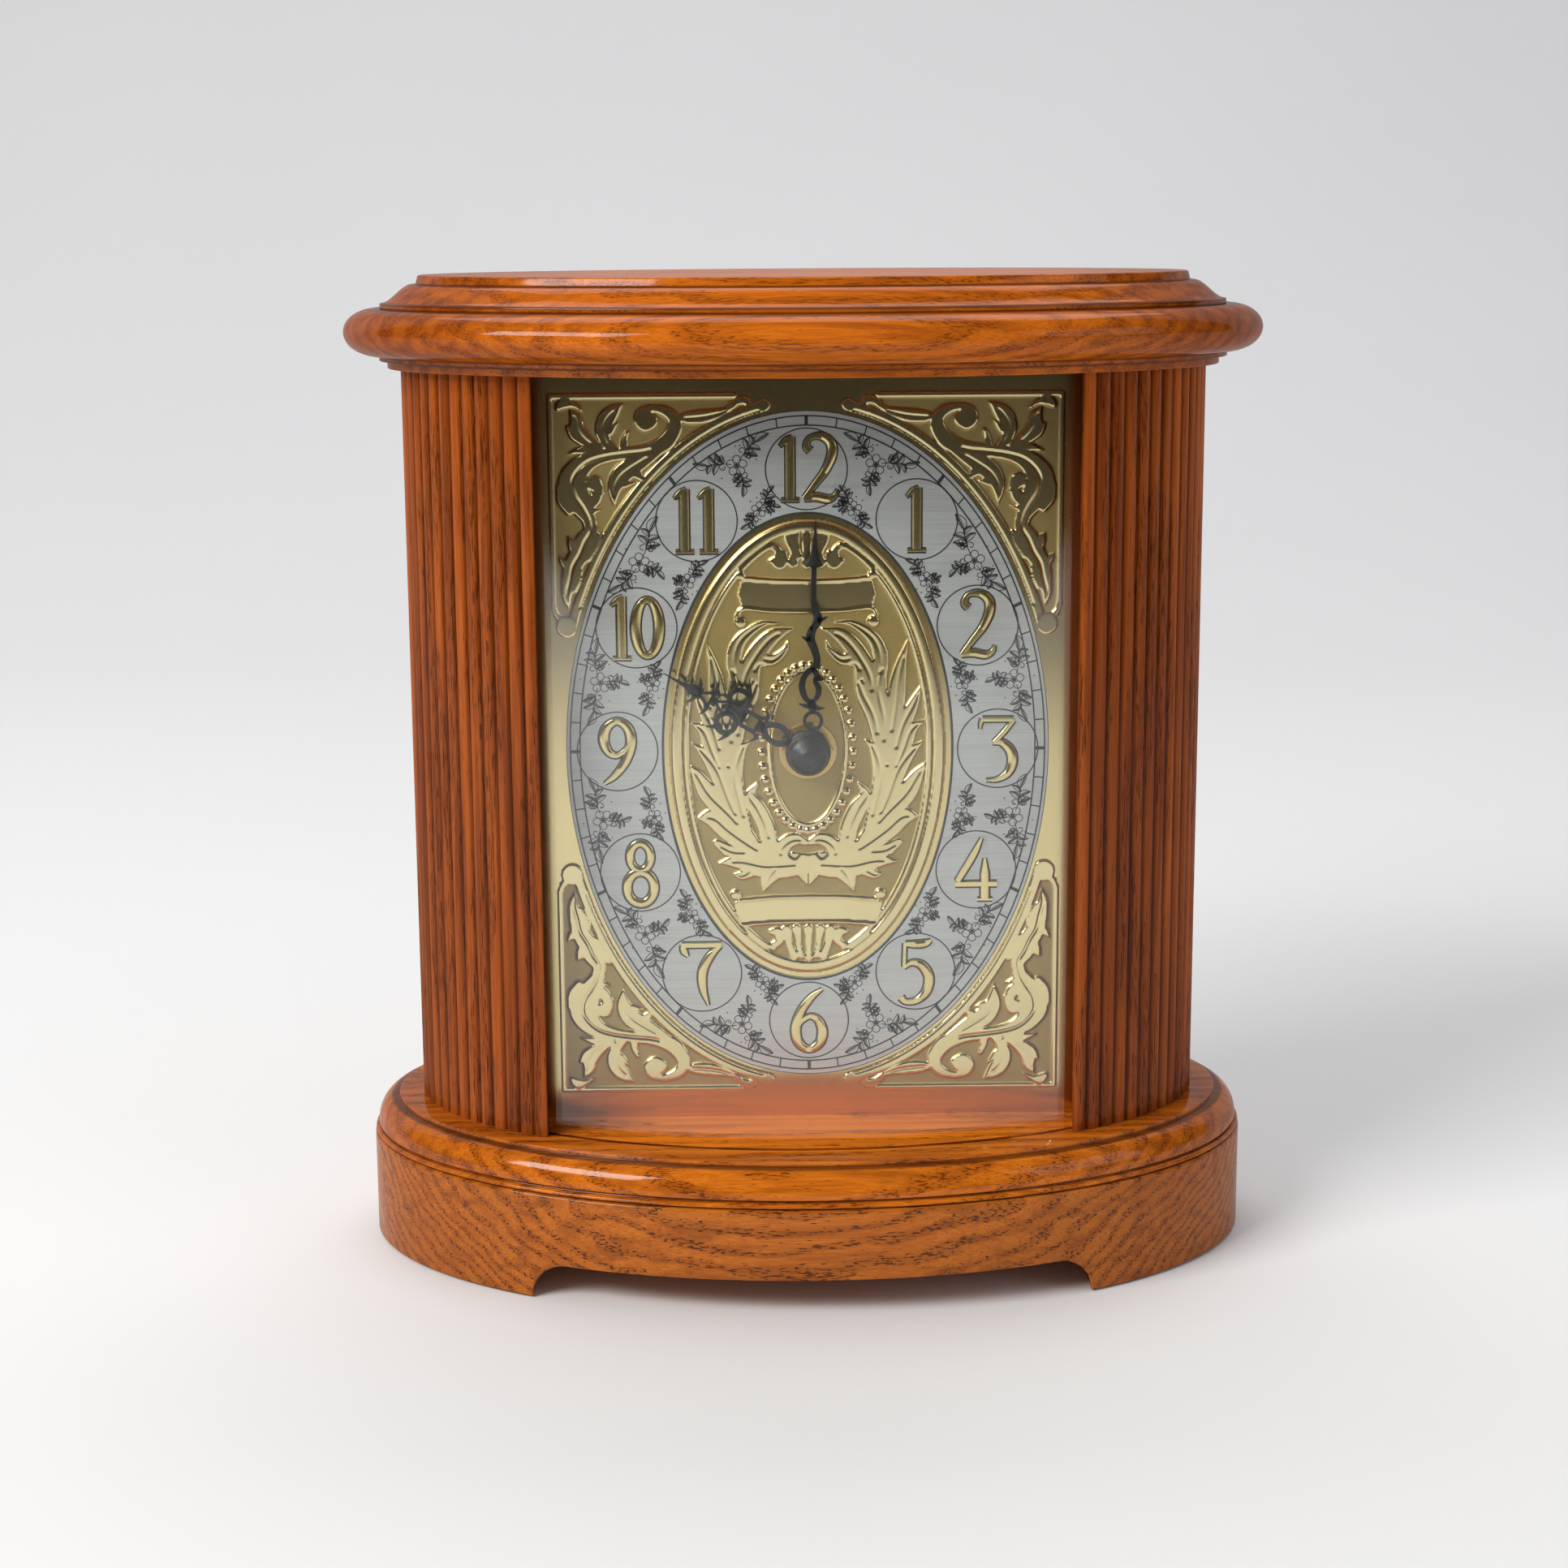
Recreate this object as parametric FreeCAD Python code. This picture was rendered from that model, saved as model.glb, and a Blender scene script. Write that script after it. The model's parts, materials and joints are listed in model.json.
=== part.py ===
"""Oval oak mantel clock with tambour sides, a bent front glass and a quartz chime movement.

Millimetres. +Z is up, the dial faces -Y, and the origin is under the middle of the base.
Plan sizes are given as an offset outwards from the tambour's outer ellipse.
"""
import FreeCAD, Part
import math
import os

from FreeCAD import Vector

# ---------------------------------------------------------------- driving sizes
HEIGHT = 250.0
BODY_A = 102.0            # half-width of the tambour's outer ellipse, along X
BODY_B = 61.0             # half-depth of the same ellipse, along Y
PLINTH_TOP = 27.5
BASE_TOP = 37.5           # the tambours and the glass stand on this level
CROWN_BOTTOM = 227.0
CAP_BOTTOM = 241.9
PLINTH_OFFSET = 13.0
FELT_PROUD = 0.5          # how far the felts stand out under the plinth
ARCH_HALF = 70.0          # half-width of the arched cut-out under the plinth
ARCH_HEIGHT = 9.5

TAMBOUR_THICK = 7.5
REED_PITCH = 4.5
REED_DEPTH = 1.1
OPENING_HALF = 66.0       # half-width of the opening between the tambours, front and back
GLASS_OUT = -3.0
GLASS_THICK = 2.5

HAND_Z = 133.0            # height of the hands' axis and of the dial's middle
DIAL_Y = -28.7            # front face of the dial plate
PLATE_THICK = 0.8
PANEL_THICK = 4.0
RING_OUT = (60.0, 84.4)   # chapter ring, half-width and half-height
RING_IN = (35.8, 59.1)
RING_THICK = 0.6
MINUTE_LENGTH = 58.5
HOUR_LENGTH = 41.0

RUN = 0.05                # radial running clearance of the arbors

PLATE_BACK = DIAL_Y + PLATE_THICK
PANEL_BACK = PLATE_BACK + PANEL_THICK
CASE_FRONT = PANEL_BACK + 0.5     # a rubber washer fills the gap
CASE_WALL = 1.5
CASE_HALF = 56.0
CASE_LOW = 76.0
CASE_HIGH = 180.0
COVER_FRONT = 10.0
COVER_BACK = 12.0
MID_FRONT = -7.0
MID_BACK = -5.5

DOOR_BACK = 45.0
DOOR_THICK = 5.0
DOOR_GAP = 0.8
HINGE_PIN = (65.1, 48.6)          # X and Y of the hinge axis
HINGE_Z = (70.0, 194.0)           # middle heights of the two hinges


# ---------------------------------------------------------------- basic shapes
def box(x0, x1, y0, y1, z0, z1):
    return Part.makeBox(x1 - x0, y1 - y0, z1 - z0, Vector(x0, y0, z0))


def rod(x, z, y0, y1, r):
    """Cylinder along Y."""
    return Part.makeCylinder(r, y1 - y0, Vector(x, y0, z), Vector(0, 1, 0))


def post(x, y, z0, z1, r):
    """Cylinder along Z."""
    return Part.makeCylinder(r, z1 - z0, Vector(x, y, z0), Vector(0, 0, 1))


def pin_x(x0, x1, y, z, r):
    """Cylinder along X."""
    return Part.makeCylinder(r, x1 - x0, Vector(x0, y, z), Vector(1, 0, 0))


def tube(x, z, y0, y1, r_out, r_in):
    return rod(x, z, y0, y1, r_out).cut(rod(x, z, y0, y1, r_in))


def turned(x, z, outline):
    """Solid turned about a Y axis through (x, z); the outline is (y, radius) pairs."""
    points = [Vector(x + r, y, z) for y, r in outline]
    face = Part.Face(Part.makePolygon(points + points[:1]))
    return face.revolve(Vector(x, 0, z), Vector(0, 1, 0), 360)


def fuse(shapes):
    first = shapes[0]
    if len(shapes) == 1:
        return first
    return first.multiFuse(shapes[1:]).removeSplitter()


def cut_all(shape, tools):
    for tool in tools:
        shape = shape.cut(tool)
    return shape


def oval_wire(offset, z):
    ellipse = Part.Ellipse(Vector(0, 0, z), BODY_A + offset, BODY_B + offset)
    return Part.Wire([ellipse.toShape()])


def oval(offset, z0, z1):
    """Upright elliptical block."""
    return Part.Face(oval_wire(offset, z0)).extrude(Vector(0, 0, z1 - z0))


def moulded(bands):
    """Solid of stacked oval bands, from the bottom up; each band is a list of (offset, z) rows.

    Where one band ends further in or out than the next begins, a flat ledge joins them.
    """
    rows = []
    for band in bands:
        for row in band:
            if not rows or math.dist(row, rows[-1]) > 1e-6:
                rows.append(row)
    return Part.makeLoft([oval_wire(offset, z) for offset, z in rows], True, True)


def dial_oval(semi, y0, y1):
    """Elliptical disc on the dial's axis, upright in the XZ plane."""
    half_width, half_height = semi
    top = Vector(0, y0, HAND_Z + half_height)
    side = Vector(half_width, y0, HAND_Z)
    ellipse = Part.Ellipse(top, side, Vector(0, y0, HAND_Z))
    return Part.Face(Part.Wire([ellipse.toShape()])).extrude(Vector(0, y1 - y0, 0))


def plate_xz(points, y0, y1):
    corners = [Vector(x, y0, z) for x, z in points]
    return Part.Face(Part.makePolygon(corners + corners[:1])).extrude(Vector(0, y1 - y0, 0))


def sweep_profile(steps, rule):
    """Sections of a curved moulding: rule(t) gives (offset, z) for t from 0 to 1."""
    return [rule(i / steps) for i in range(steps + 1)]


# ---------------------------------------------------------------- gears
def tooth_outline(teeth, module, phase, x, z):
    """Straight-flanked teeth with room to run; phase is the angle of one tooth's middle."""
    pitch_r = teeth * module / 2
    tip_r = pitch_r + 0.75 * module
    root_r = pitch_r - 1.1 * module
    step = 2 * math.pi / teeth
    root_half = 0.31 * step
    tip_half = 0.11 * step
    points = []
    for i in range(teeth):
        middle = phase + i * step
        for radius, turn in ((root_r, -root_half), (tip_r, -tip_half),
                             (tip_r, tip_half), (root_r, root_half)):
            angle = middle + turn
            points.append((x + radius * math.cos(angle), z + radius * math.sin(angle)))
    return points


def gear(teeth, module, phase, x, z, y0, y1):
    return plate_xz(tooth_outline(teeth, module, phase, x, z), y0, y1)


def meshed_phase(teeth_1, phase_1, teeth_2, heading):
    """Phase that sets gear 2 in mesh with gear 1; heading points from gear 1 to gear 2."""
    step_1 = 2 * math.pi / teeth_1
    step_2 = 2 * math.pi / teeth_2
    share = (heading - phase_1) / step_1
    return heading + math.pi - step_2 * (0.5 - share)


# ---------------------------------------------------------------- wooden case
DOWEL_R = 2.0
DOWEL_REACH = 8.0
DOWEL_ANGLES = (-32.0, 32.0, 148.0, 212.0)
PLINTH_SCREWS = ((-56, 0), (56, 0), (0, -50), (0, 50))
CROWN_SCREWS = ((-45, -20), (45, -20), (-45, 20), (45, 20))
PLINTH_SCREW_Z = ARCH_HEIGHT + 3.0
PLINTH_SCREW_LENGTH = 22.0
CROWN_SCREW_Z = 232.0
CROWN_SCREW_LENGTH = 14.0


def dowels(low, high):
    middle = -TAMBOUR_THICK / 2 - 0.4
    found = []
    for angle in DOWEL_ANGLES:
        x = (BODY_A + middle) * math.cos(math.radians(angle))
        y = (BODY_B + middle) * math.sin(math.radians(angle))
        found.append(post(x, y, low, high, DOWEL_R))
    return found


LOW_DOWELS = dowels(BASE_TOP - DOWEL_REACH, BASE_TOP + DOWEL_REACH)
HIGH_DOWELS = dowels(CROWN_BOTTOM - DOWEL_REACH, CROWN_BOTTOM + DOWEL_REACH)


def wood_screw(x, y, z_head, length, head_r=3.6, shank_r=1.8):
    """Countersunk screw driven upwards, its head flush with z_head."""
    sink = head_r - shank_r
    head = Part.makeCone(head_r, shank_r, sink, Vector(x, y, z_head), Vector(0, 0, 1))
    return fuse([head, post(x, y, z_head + sink, z_head + length, shank_r)])


def wood_screws(places, z_head, length):
    return [wood_screw(x, y, z_head, length) for x, y in places]


def crown_cap():
    fillet_low = 247.8
    ogee_in = -3.6
    ogee_out = 4.7
    ogee_low = 243.1

    def ogee(t):
        rise = (fillet_low - ogee_low) * (1 - math.cos(math.pi * t)) / 2
        return ogee_out + (ogee_in - ogee_out) * t, ogee_low + rise

    cap = moulded([[(ogee_out, CAP_BOTTOM), (ogee_out, ogee_low)],
                   sweep_profile(8, ogee),
                   [(-4.4, fillet_low), (-5.0, HEIGHT)]])
    return cut_all(cap, wood_screws(CROWN_SCREWS, CROWN_SCREW_Z, CROWN_SCREW_LENGTH))


def crown_board():
    nose_middle = 236.05
    nose_half = CAP_BOTTOM - nose_middle
    nose_in = 6.0
    nose_reach = 8.0
    neck_top = 228.9
    nose_low = nose_middle - nose_half

    def bullnose(t):
        angle = math.pi * (t - 0.5)
        return nose_in + nose_reach * math.cos(angle), nose_middle + nose_half * math.sin(angle)

    board = moulded([[(3.2, CROWN_BOTTOM), (3.2, neck_top)],
                     [(5.2, neck_top), (5.2, nose_low)],
                     sweep_profile(12, bullnose)])
    heads = [post(x, y, CROWN_BOTTOM, CROWN_SCREW_Z, 3.8) for x, y in CROWN_SCREWS]
    screws = wood_screws(CROWN_SCREWS, CROWN_SCREW_Z, CROWN_SCREW_LENGTH)
    return cut_all(board, heads + screws + HIGH_DOWELS)


def base_top():
    rim = 6.3
    rim_low = 36.5
    ovolo_in = 7.0
    ovolo_out = 12.0
    ovolo_low = 29.7
    bead_in = 11.3

    bead_top = 29.1
    bead_reach = 1.5

    def ovolo(t):
        angle = math.pi / 2 * t
        return (ovolo_in + (ovolo_out - ovolo_in) * math.cos(angle),
                ovolo_low + (rim_low - ovolo_low) * math.sin(angle))

    def bead(t):
        angle = math.pi * (t - 0.5)
        half = (bead_top - PLINTH_TOP) / 2
        return bead_in + bead_reach * math.cos(angle), PLINTH_TOP + half * (1 + math.sin(angle))

    board = moulded([sweep_profile(6, bead),
                     [(bead_in, bead_top), (bead_in, ovolo_low)],
                     sweep_profile(8, ovolo),
                     [(rim, rim_low), (rim, BASE_TOP)]])
    screws = wood_screws(PLINTH_SCREWS, PLINTH_SCREW_Z, PLINTH_SCREW_LENGTH)
    return cut_all(board, screws + LOW_DOWELS)


def arch_channel():
    """Arched passage that leaves a foot at each end of the plinth."""
    y0 = -BODY_B - PLINTH_OFFSET - 1
    low = -1.0
    r = ARCH_HEIGHT - FELT_PROUD
    straight = ARCH_HALF - r
    s = math.sqrt(0.5)
    centre_z = ARCH_HEIGHT - r

    def at(x, z):
        return Vector(x, y0, z)

    edges = [
        Part.LineSegment(at(-ARCH_HALF, low), at(-ARCH_HALF, centre_z)).toShape(),
        Part.Arc(at(-ARCH_HALF, centre_z), at(-straight - r * s, centre_z + r * s),
                 at(-straight, ARCH_HEIGHT)).toShape(),
        Part.LineSegment(at(-straight, ARCH_HEIGHT), at(straight, ARCH_HEIGHT)).toShape(),
        Part.Arc(at(straight, ARCH_HEIGHT), at(straight + r * s, centre_z + r * s),
                 at(ARCH_HALF, centre_z)).toShape(),
        Part.LineSegment(at(ARCH_HALF, centre_z), at(ARCH_HALF, low)).toShape(),
        Part.LineSegment(at(ARCH_HALF, low), at(-ARCH_HALF, low)).toShape(),
    ]
    return Part.Face(Part.Wire(edges)).extrude(Vector(0, -2 * y0, 0))


FELT_SINK = 0.5
FELT_INSET = 78.0


def foot_felts(side):
    """Felt under one foot: the end of an oval, cut off straight, let into the plinth."""
    z0 = 0.0
    z1 = FELT_PROUD + FELT_SINK
    keep = box(FELT_INSET, BODY_A + 30, -BODY_B, BODY_B, z0, z1)
    if side < 0:
        keep = box(-BODY_A - 30, -FELT_INSET, -BODY_B, BODY_B, z0, z1)
    return oval(PLINTH_OFFSET - 5.0, z0, z1).common(keep)


def base_plinth():
    edge_round = 0.8

    def top_edge(t):
        angle = math.pi / 2 * t
        return (PLINTH_OFFSET - edge_round * (1 - math.cos(angle)),
                PLINTH_TOP - edge_round + edge_round * math.sin(angle))

    body = moulded([[(PLINTH_OFFSET, FELT_PROUD), (PLINTH_OFFSET, PLINTH_TOP - edge_round)],
                    sweep_profile(4, top_edge)])
    screws = wood_screws(PLINTH_SCREWS, PLINTH_SCREW_Z, PLINTH_SCREW_LENGTH)
    heads = [post(x, y, -1.0, PLINTH_SCREW_Z, 3.8) for x, y in PLINTH_SCREWS]
    felts = [foot_felts(-1), foot_felts(1)]
    return cut_all(body, [arch_channel()] + felts + heads + screws)


def outer_point(angle, offset):
    """Point on the tambour's ellipse, moved along its normal."""
    nx = math.cos(angle) / BODY_A
    ny = math.sin(angle) / BODY_B
    size = math.hypot(nx, ny)
    return Vector(BODY_A * math.cos(angle) + offset * nx / size,
                  BODY_B * math.sin(angle) + offset * ny / size, BASE_TOP)


def even_angles(first, last):
    """Angles that divide the ellipse between first and last into equal reeds."""
    fine = 2000
    walk = [0.0]
    for i in range(fine):
        a0 = first + (last - first) * i / fine
        a1 = first + (last - first) * (i + 1) / fine
        walk.append(walk[-1] + (outer_point(a1, 0) - outer_point(a0, 0)).Length)
    count = round(walk[-1] / REED_PITCH)
    angles = []
    i = 0
    for n in range(2 * count + 1):
        goal = walk[-1] * n / (2 * count)
        while i < fine and walk[i] < goal - 1e-9:
            i += 1
        angles.append(first + (last - first) * i / fine)
    return angles


def glass_band(grow, half_width):
    """Front part of an oval shell between the base and the crown."""
    outer = oval(GLASS_OUT + grow, BASE_TOP, CROWN_BOTTOM)
    inner = oval(GLASS_OUT - GLASS_THICK - grow, BASE_TOP, CROWN_BOTTOM)
    keep = box(-half_width, half_width, -BODY_B - 1, 0, BASE_TOP, CROWN_BOTTOM)
    return outer.cut(inner).common(keep)


def reeded_panel():
    """Reeded panel bent round the right end, grooved at the front for the glass."""
    end = math.acos(OPENING_HALF / BODY_A)
    angles = even_angles(-end, end)
    edges = []
    for n in range(0, len(angles) - 2, 2):
        start = outer_point(angles[n], -REED_DEPTH)
        crest = outer_point(angles[n + 1], 0)
        stop = outer_point(angles[n + 2], -REED_DEPTH)
        edges.append(Part.Arc(start, crest, stop).toShape())
    first = outer_point(angles[0], -REED_DEPTH)
    last = outer_point(angles[-1], -REED_DEPTH)
    shell = Part.Ellipse(Vector(0, 0, BASE_TOP), BODY_A - TAMBOUR_THICK, BODY_B - TAMBOUR_THICK)
    turn = math.acos(first.x / (BODY_A - TAMBOUR_THICK))
    inner = Part.ArcOfEllipse(shell, -turn, turn)
    edges += [Part.LineSegment(last, inner.EndPoint).toShape(), inner.toShape(),
              Part.LineSegment(inner.StartPoint, first).toShape()]
    wire = Part.Wire(Part.__sortEdges__(edges))
    return Part.Face(wire).extrude(Vector(0, 0, CROWN_BOTTOM - BASE_TOP))


def tambour(side):
    panel = reeded_panel()
    if side < 0:
        panel = panel.mirror(Vector(0, 0, 0), Vector(1, 0, 0))
    opening = box(-OPENING_HALF, OPENING_HALF, -BODY_B - 1, BODY_B + 1, BASE_TOP, CROWN_BOTTOM)
    tools = [opening, glass_band(0.15, OPENING_HALF + 3.4)] + LOW_DOWELS + HIGH_DOWELS
    if side > 0:
        tools += hinge_screws(1)
    return cut_all(panel, tools)


def front_glass():
    return glass_band(0, OPENING_HALF + 3.0)


# ---------------------------------------------------------------- rear door
HINGE_HALF = 12.0
KNUCKLE_R = 1.8
PIN_R = 0.9
LEAF_THICK = 0.8
LEAF_FRONT = 40.6
KNUCKLE_GAP = 0.15
DOOR_FREE_X = -OPENING_HALF + DOOR_GAP
DOOR_HINGE_X = OPENING_HALF - 1.8
KNOB_X = -54.0
SPEAKER_X = 24.0
SPEAKER_Z = 148.0


def hinge_screws(side):
    """Two screws per hinge leaf: side 1 goes into the case, side -1 into the door's edge."""
    screws = []
    face = OPENING_HALF - LEAF_THICK if side > 0 else DOOR_HINGE_X + LEAF_THICK
    for middle in HINGE_Z:
        for z in (middle - 7.0, middle + 7.0):
            head = Part.makeCone(1.5, 0.8, LEAF_THICK, Vector(face, 42.5, z), Vector(side, 0, 0))
            start = face + side * LEAF_THICK
            shank = Part.makeCylinder(0.8, 5.0, Vector(start, 42.5, z), Vector(side, 0, 0))
            screws.append(fuse([head, shank]))
    return screws


def hinge_leaf(side, middle):
    """Leaf with its knuckles: the case leaf (1) has two, the door leaf (-1) the middle one."""
    x, y = HINGE_PIN
    third = 2 * HINGE_HALF / 3
    low = middle - HINGE_HALF
    if side > 0:
        plate = box(OPENING_HALF - LEAF_THICK, OPENING_HALF, LEAF_FRONT, y, low, low + 3 * third)
        spans = [(low, low + third), (low + 2 * third, low + 3 * third)]
    else:
        plate = box(DOOR_HINGE_X, DOOR_HINGE_X + LEAF_THICK, LEAF_FRONT, y, low, low + 3 * third)
        spans = [(low + third + KNUCKLE_GAP, low + 2 * third - KNUCKLE_GAP)]
    leaf = fuse([plate] + [post(x, y, z0, z1, KNUCKLE_R) for z0, z1 in spans])
    if side > 0:
        clear = [post(x, y, low + third, low + 2 * third, KNUCKLE_R + 0.3)]
        bore = PIN_R
    else:
        clear = [post(x, y, low - 1, low + third, KNUCKLE_R + 0.3),
                 post(x, y, low + 2 * third, low + 3 * third + 1, KNUCKLE_R + 0.3)]
        bore = PIN_R + RUN
    hole = post(x, y, low - 1, low + 3 * third + 1, bore)
    return cut_all(leaf, clear + [hole] + hinge_screws(side))


def hinge_pins():
    x, y = HINGE_PIN
    pins = []
    for middle in HINGE_Z:
        shank = post(x, y, middle - HINGE_HALF, middle + HINGE_HALF, PIN_R)
        cap = post(x, y, middle + HINGE_HALF, middle + HINGE_HALF + 0.8, PIN_R + 0.5)
        pins.append(fuse([shank, cap]))
    return pins


def sound_holes():
    holes = []
    pitch = 8.0
    for row in range(-2, 3):
        for column in range(-2, 3):
            x = column * pitch + (pitch / 2 if row % 2 else 0)
            z = row * pitch * math.sqrt(3) / 2
            if math.hypot(x, z) < 2.2 * pitch:
                holes.append(rod(SPEAKER_X + x, SPEAKER_Z + z, DOOR_BACK - DOOR_THICK - 1,
                                 DOOR_BACK + 1, 2.2))
    return holes


def rear_door():
    panel = box(DOOR_FREE_X, DOOR_HINGE_X, DOOR_BACK - DOOR_THICK, DOOR_BACK,
                BASE_TOP + DOOR_GAP, CROWN_BOTTOM - DOOR_GAP)
    screw = rod(KNOB_X, HAND_Z, DOOR_BACK - DOOR_THICK - 1, DOOR_BACK + 1, 1.5)
    strike_nest = box(STRIKE_X - 9, STRIKE_X + 9, STRIKE_FRONT, STRIKE_FRONT + STRIKE_THICK,
                      CATCH_LOW, CROWN_BOTTOM - 2)
    return cut_all(panel, sound_holes() + [screw, strike_nest] + hinge_screws(-1))


def door_knob():
    outline = [(45.0, 0.0), (45.0, 4.0), (46.2, 4.0), (48.0, 2.4), (49.5, 2.6), (51.5, 4.6),
               (53.5, 5.2), (55.2, 4.6), (56.2, 3.0), (56.5, 0.0)]
    knob = turned(KNOB_X, HAND_Z, outline)
    return knob.cut(rod(KNOB_X, HAND_Z, 44.0, 51.0, 1.5))


def knob_screw():
    front = DOOR_BACK - DOOR_THICK
    head = turned(KNOB_X, HAND_Z, [(front - 1.6, 0.0), (front - 1.6, 1.8), (front - 0.8, 2.9),
                                   (front, 3.0), (front, 0.0)])
    return fuse([head, rod(KNOB_X, HAND_Z, front, 51.0, 1.5)])


STRIKE_X = -46.0
STRIKE_THICK = 1.0
STRIKE_FRONT = DOOR_BACK - DOOR_THICK
CATCH_LOW = 216.0


def catch_strike():
    return box(STRIKE_X - 9, STRIKE_X + 9, STRIKE_FRONT, STRIKE_FRONT + STRIKE_THICK,
               CATCH_LOW, CROWN_BOTTOM - 2)


def catch_magnet():
    """Magnet block under the crown board, with a pole plate on each side."""
    back = STRIKE_FRONT - 0.3
    body = box(STRIKE_X - 7, STRIKE_X + 7, back - 12, back - 1, CATCH_LOW, CROWN_BOTTOM)
    poles = [box(STRIKE_X + x, STRIKE_X + x + 1.5, back - 10, back, CATCH_LOW + 2, CROWN_BOTTOM - 2)
             for x in (-5.0, 3.5)]
    return fuse([body] + poles)


# ---------------------------------------------------------------- dial
SHAFT_HOLE_R = 4.1
PLATE_HALF = 79.0
PANEL_HALF = 80.0
CLEAT = 10.0
CLEAT_HALF = 50.0
DIAL_SCREWS = tuple((x, z) for x in (-42, 42)
                    for z in (BASE_TOP + CLEAT / 2, CROWN_BOTTOM - CLEAT / 2))
MEDALLION = (34.6, 57.9)
SPANDREL_CLEAR = (62.2, 86.6)
SPANDREL_BOX = (11.0, 63.6, 29.5, 89.2)   # X from, X to, height from, height to, from the axis


def dial_screws():
    screws = []
    for x, z in DIAL_SCREWS:
        back = PANEL_BACK + CLEAT
        head = turned(x, z, [(back, 0.0), (back, 3.0), (back + 1.0, 2.8), (back + 1.7, 1.5),
                             (back + 1.9, 0.0)])
        screws.append(fuse([head, rod(x, z, PANEL_BACK - 2, back, 1.4)]))
    return screws


def dial_cleats():
    back = PANEL_BACK + CLEAT
    low = box(-CLEAT_HALF, CLEAT_HALF, PANEL_BACK, back, BASE_TOP, BASE_TOP + CLEAT)
    high = box(-CLEAT_HALF, CLEAT_HALF, PANEL_BACK, back, CROWN_BOTTOM - CLEAT, CROWN_BOTTOM)
    return [cut_all(low, dial_screws()), cut_all(high, dial_screws())]


def dial_panel():
    board = box(-PANEL_HALF, PANEL_HALF, PLATE_BACK, PANEL_BACK, BASE_TOP, CROWN_BOTTOM)
    return cut_all(board, dial_screws() + [rod(0, HAND_Z, PLATE_BACK - 1, PANEL_BACK + 1,
                                               SHAFT_HOLE_R)])


def dial_plate():
    sheet = box(-PLATE_HALF, PLATE_HALF, DIAL_Y, PLATE_BACK, BASE_TOP, CROWN_BOTTOM)
    return sheet.cut(rod(0, HAND_Z, DIAL_Y - 1, PLATE_BACK + 1, SHAFT_HOLE_R))


def chapter_ring():
    front = DIAL_Y - RING_THICK
    return dial_oval(RING_OUT, front, DIAL_Y).cut(dial_oval(RING_IN, front - 1, DIAL_Y + 1))


def center_medallion():
    base = dial_oval(MEDALLION, DIAL_Y - 0.6, DIAL_Y)
    rim_in = (MEDALLION[0] - 2.4, MEDALLION[1] - 2.4)
    rim = dial_oval(MEDALLION, DIAL_Y - 1.2, DIAL_Y - 0.6).cut(
        dial_oval(rim_in, DIAL_Y - 2, DIAL_Y))
    oval_out = (12.8, 21.2)
    oval_in = (11.2, 19.6)
    collar = dial_oval(oval_out, DIAL_Y - 1.2, DIAL_Y - 0.6).cut(
        dial_oval(oval_in, DIAL_Y - 2, DIAL_Y))
    return fuse([base, rim, collar]).cut(rod(0, HAND_Z, DIAL_Y - 2, DIAL_Y + 1, SHAFT_HOLE_R))


def corner_spandrels():
    """Four cast corner ornaments, one in each corner, hollowed to follow the ring."""
    x0, x1, z0, z1 = SPANDREL_BOX
    corners = []
    for side in (-1, 1):
        for up in (-1, 1):
            xs = sorted((side * x0, side * x1))
            zs = sorted((HAND_Z + up * z0, HAND_Z + up * z1))
            blank = box(xs[0], xs[1], DIAL_Y - 1.4, DIAL_Y, zs[0], zs[1])
            corners.append(blank.cut(dial_oval(SPANDREL_CLEAR, DIAL_Y - 3, DIAL_Y + 1)))
    return corners


# ---------------------------------------------------------------- hands
HOUR_PLATE = (-34.4, -33.9)
MINUTE_PLATE = (-36.6, -36.1)
HUB_HOUR_R = 2.5
HUB_MINUTE_R = 1.5
HOUR_TURN = -60.0         # the hands show ten o'clock
MINUTE_TURN = 2.0


def turned_hand(shape, degrees):
    """Turns a hand clockwise, as seen from the front."""
    shape = shape.copy()
    shape.rotate(Vector(0, 0, HAND_Z), Vector(0, 1, 0), degrees)
    return shape


def hand_blank(spine, front, back, hub_r, loops):
    """Flat pierced hand pointing up: spine is (half-width, distance), loops (x, distance, r, hole)."""
    right = [(w, HAND_Z + d) for w, d in spine]
    left = [(-w, HAND_Z + d) for w, d in reversed(spine)]
    parts = [plate_xz(right + left, front, back), rod(0, HAND_Z, front, back, hub_r)]
    holes = []
    for x, distance, r, hole in loops:
        parts.append(rod(x, HAND_Z + distance, front, back, r))
        holes.append(rod(x, HAND_Z + distance, front - 1, back + 1, hole))
    return cut_all(fuse(parts), holes)


def minute_hand():
    front, back = MINUTE_PLATE
    spine = [(1.6, 0.0), (1.3, 12.0), (0.9, 30.0), (1.8, 33.0), (0.7, 40.0), (0.35, MINUTE_LENGTH)]
    loops = [(0.0, 8.0, 2.6, 1.5), (0.0, 16.0, 2.6, 1.4)]
    blank = hand_blank(spine, front, back, 4.6, loops)
    collar = tube(0, HAND_Z, back, back + 0.9, 3.0, HUB_MINUTE_R)
    hand = fuse([blank, collar]).cut(rod(0, HAND_Z, front - 1, back + 2, HUB_MINUTE_R))
    return turned_hand(hand, MINUTE_TURN)


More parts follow.
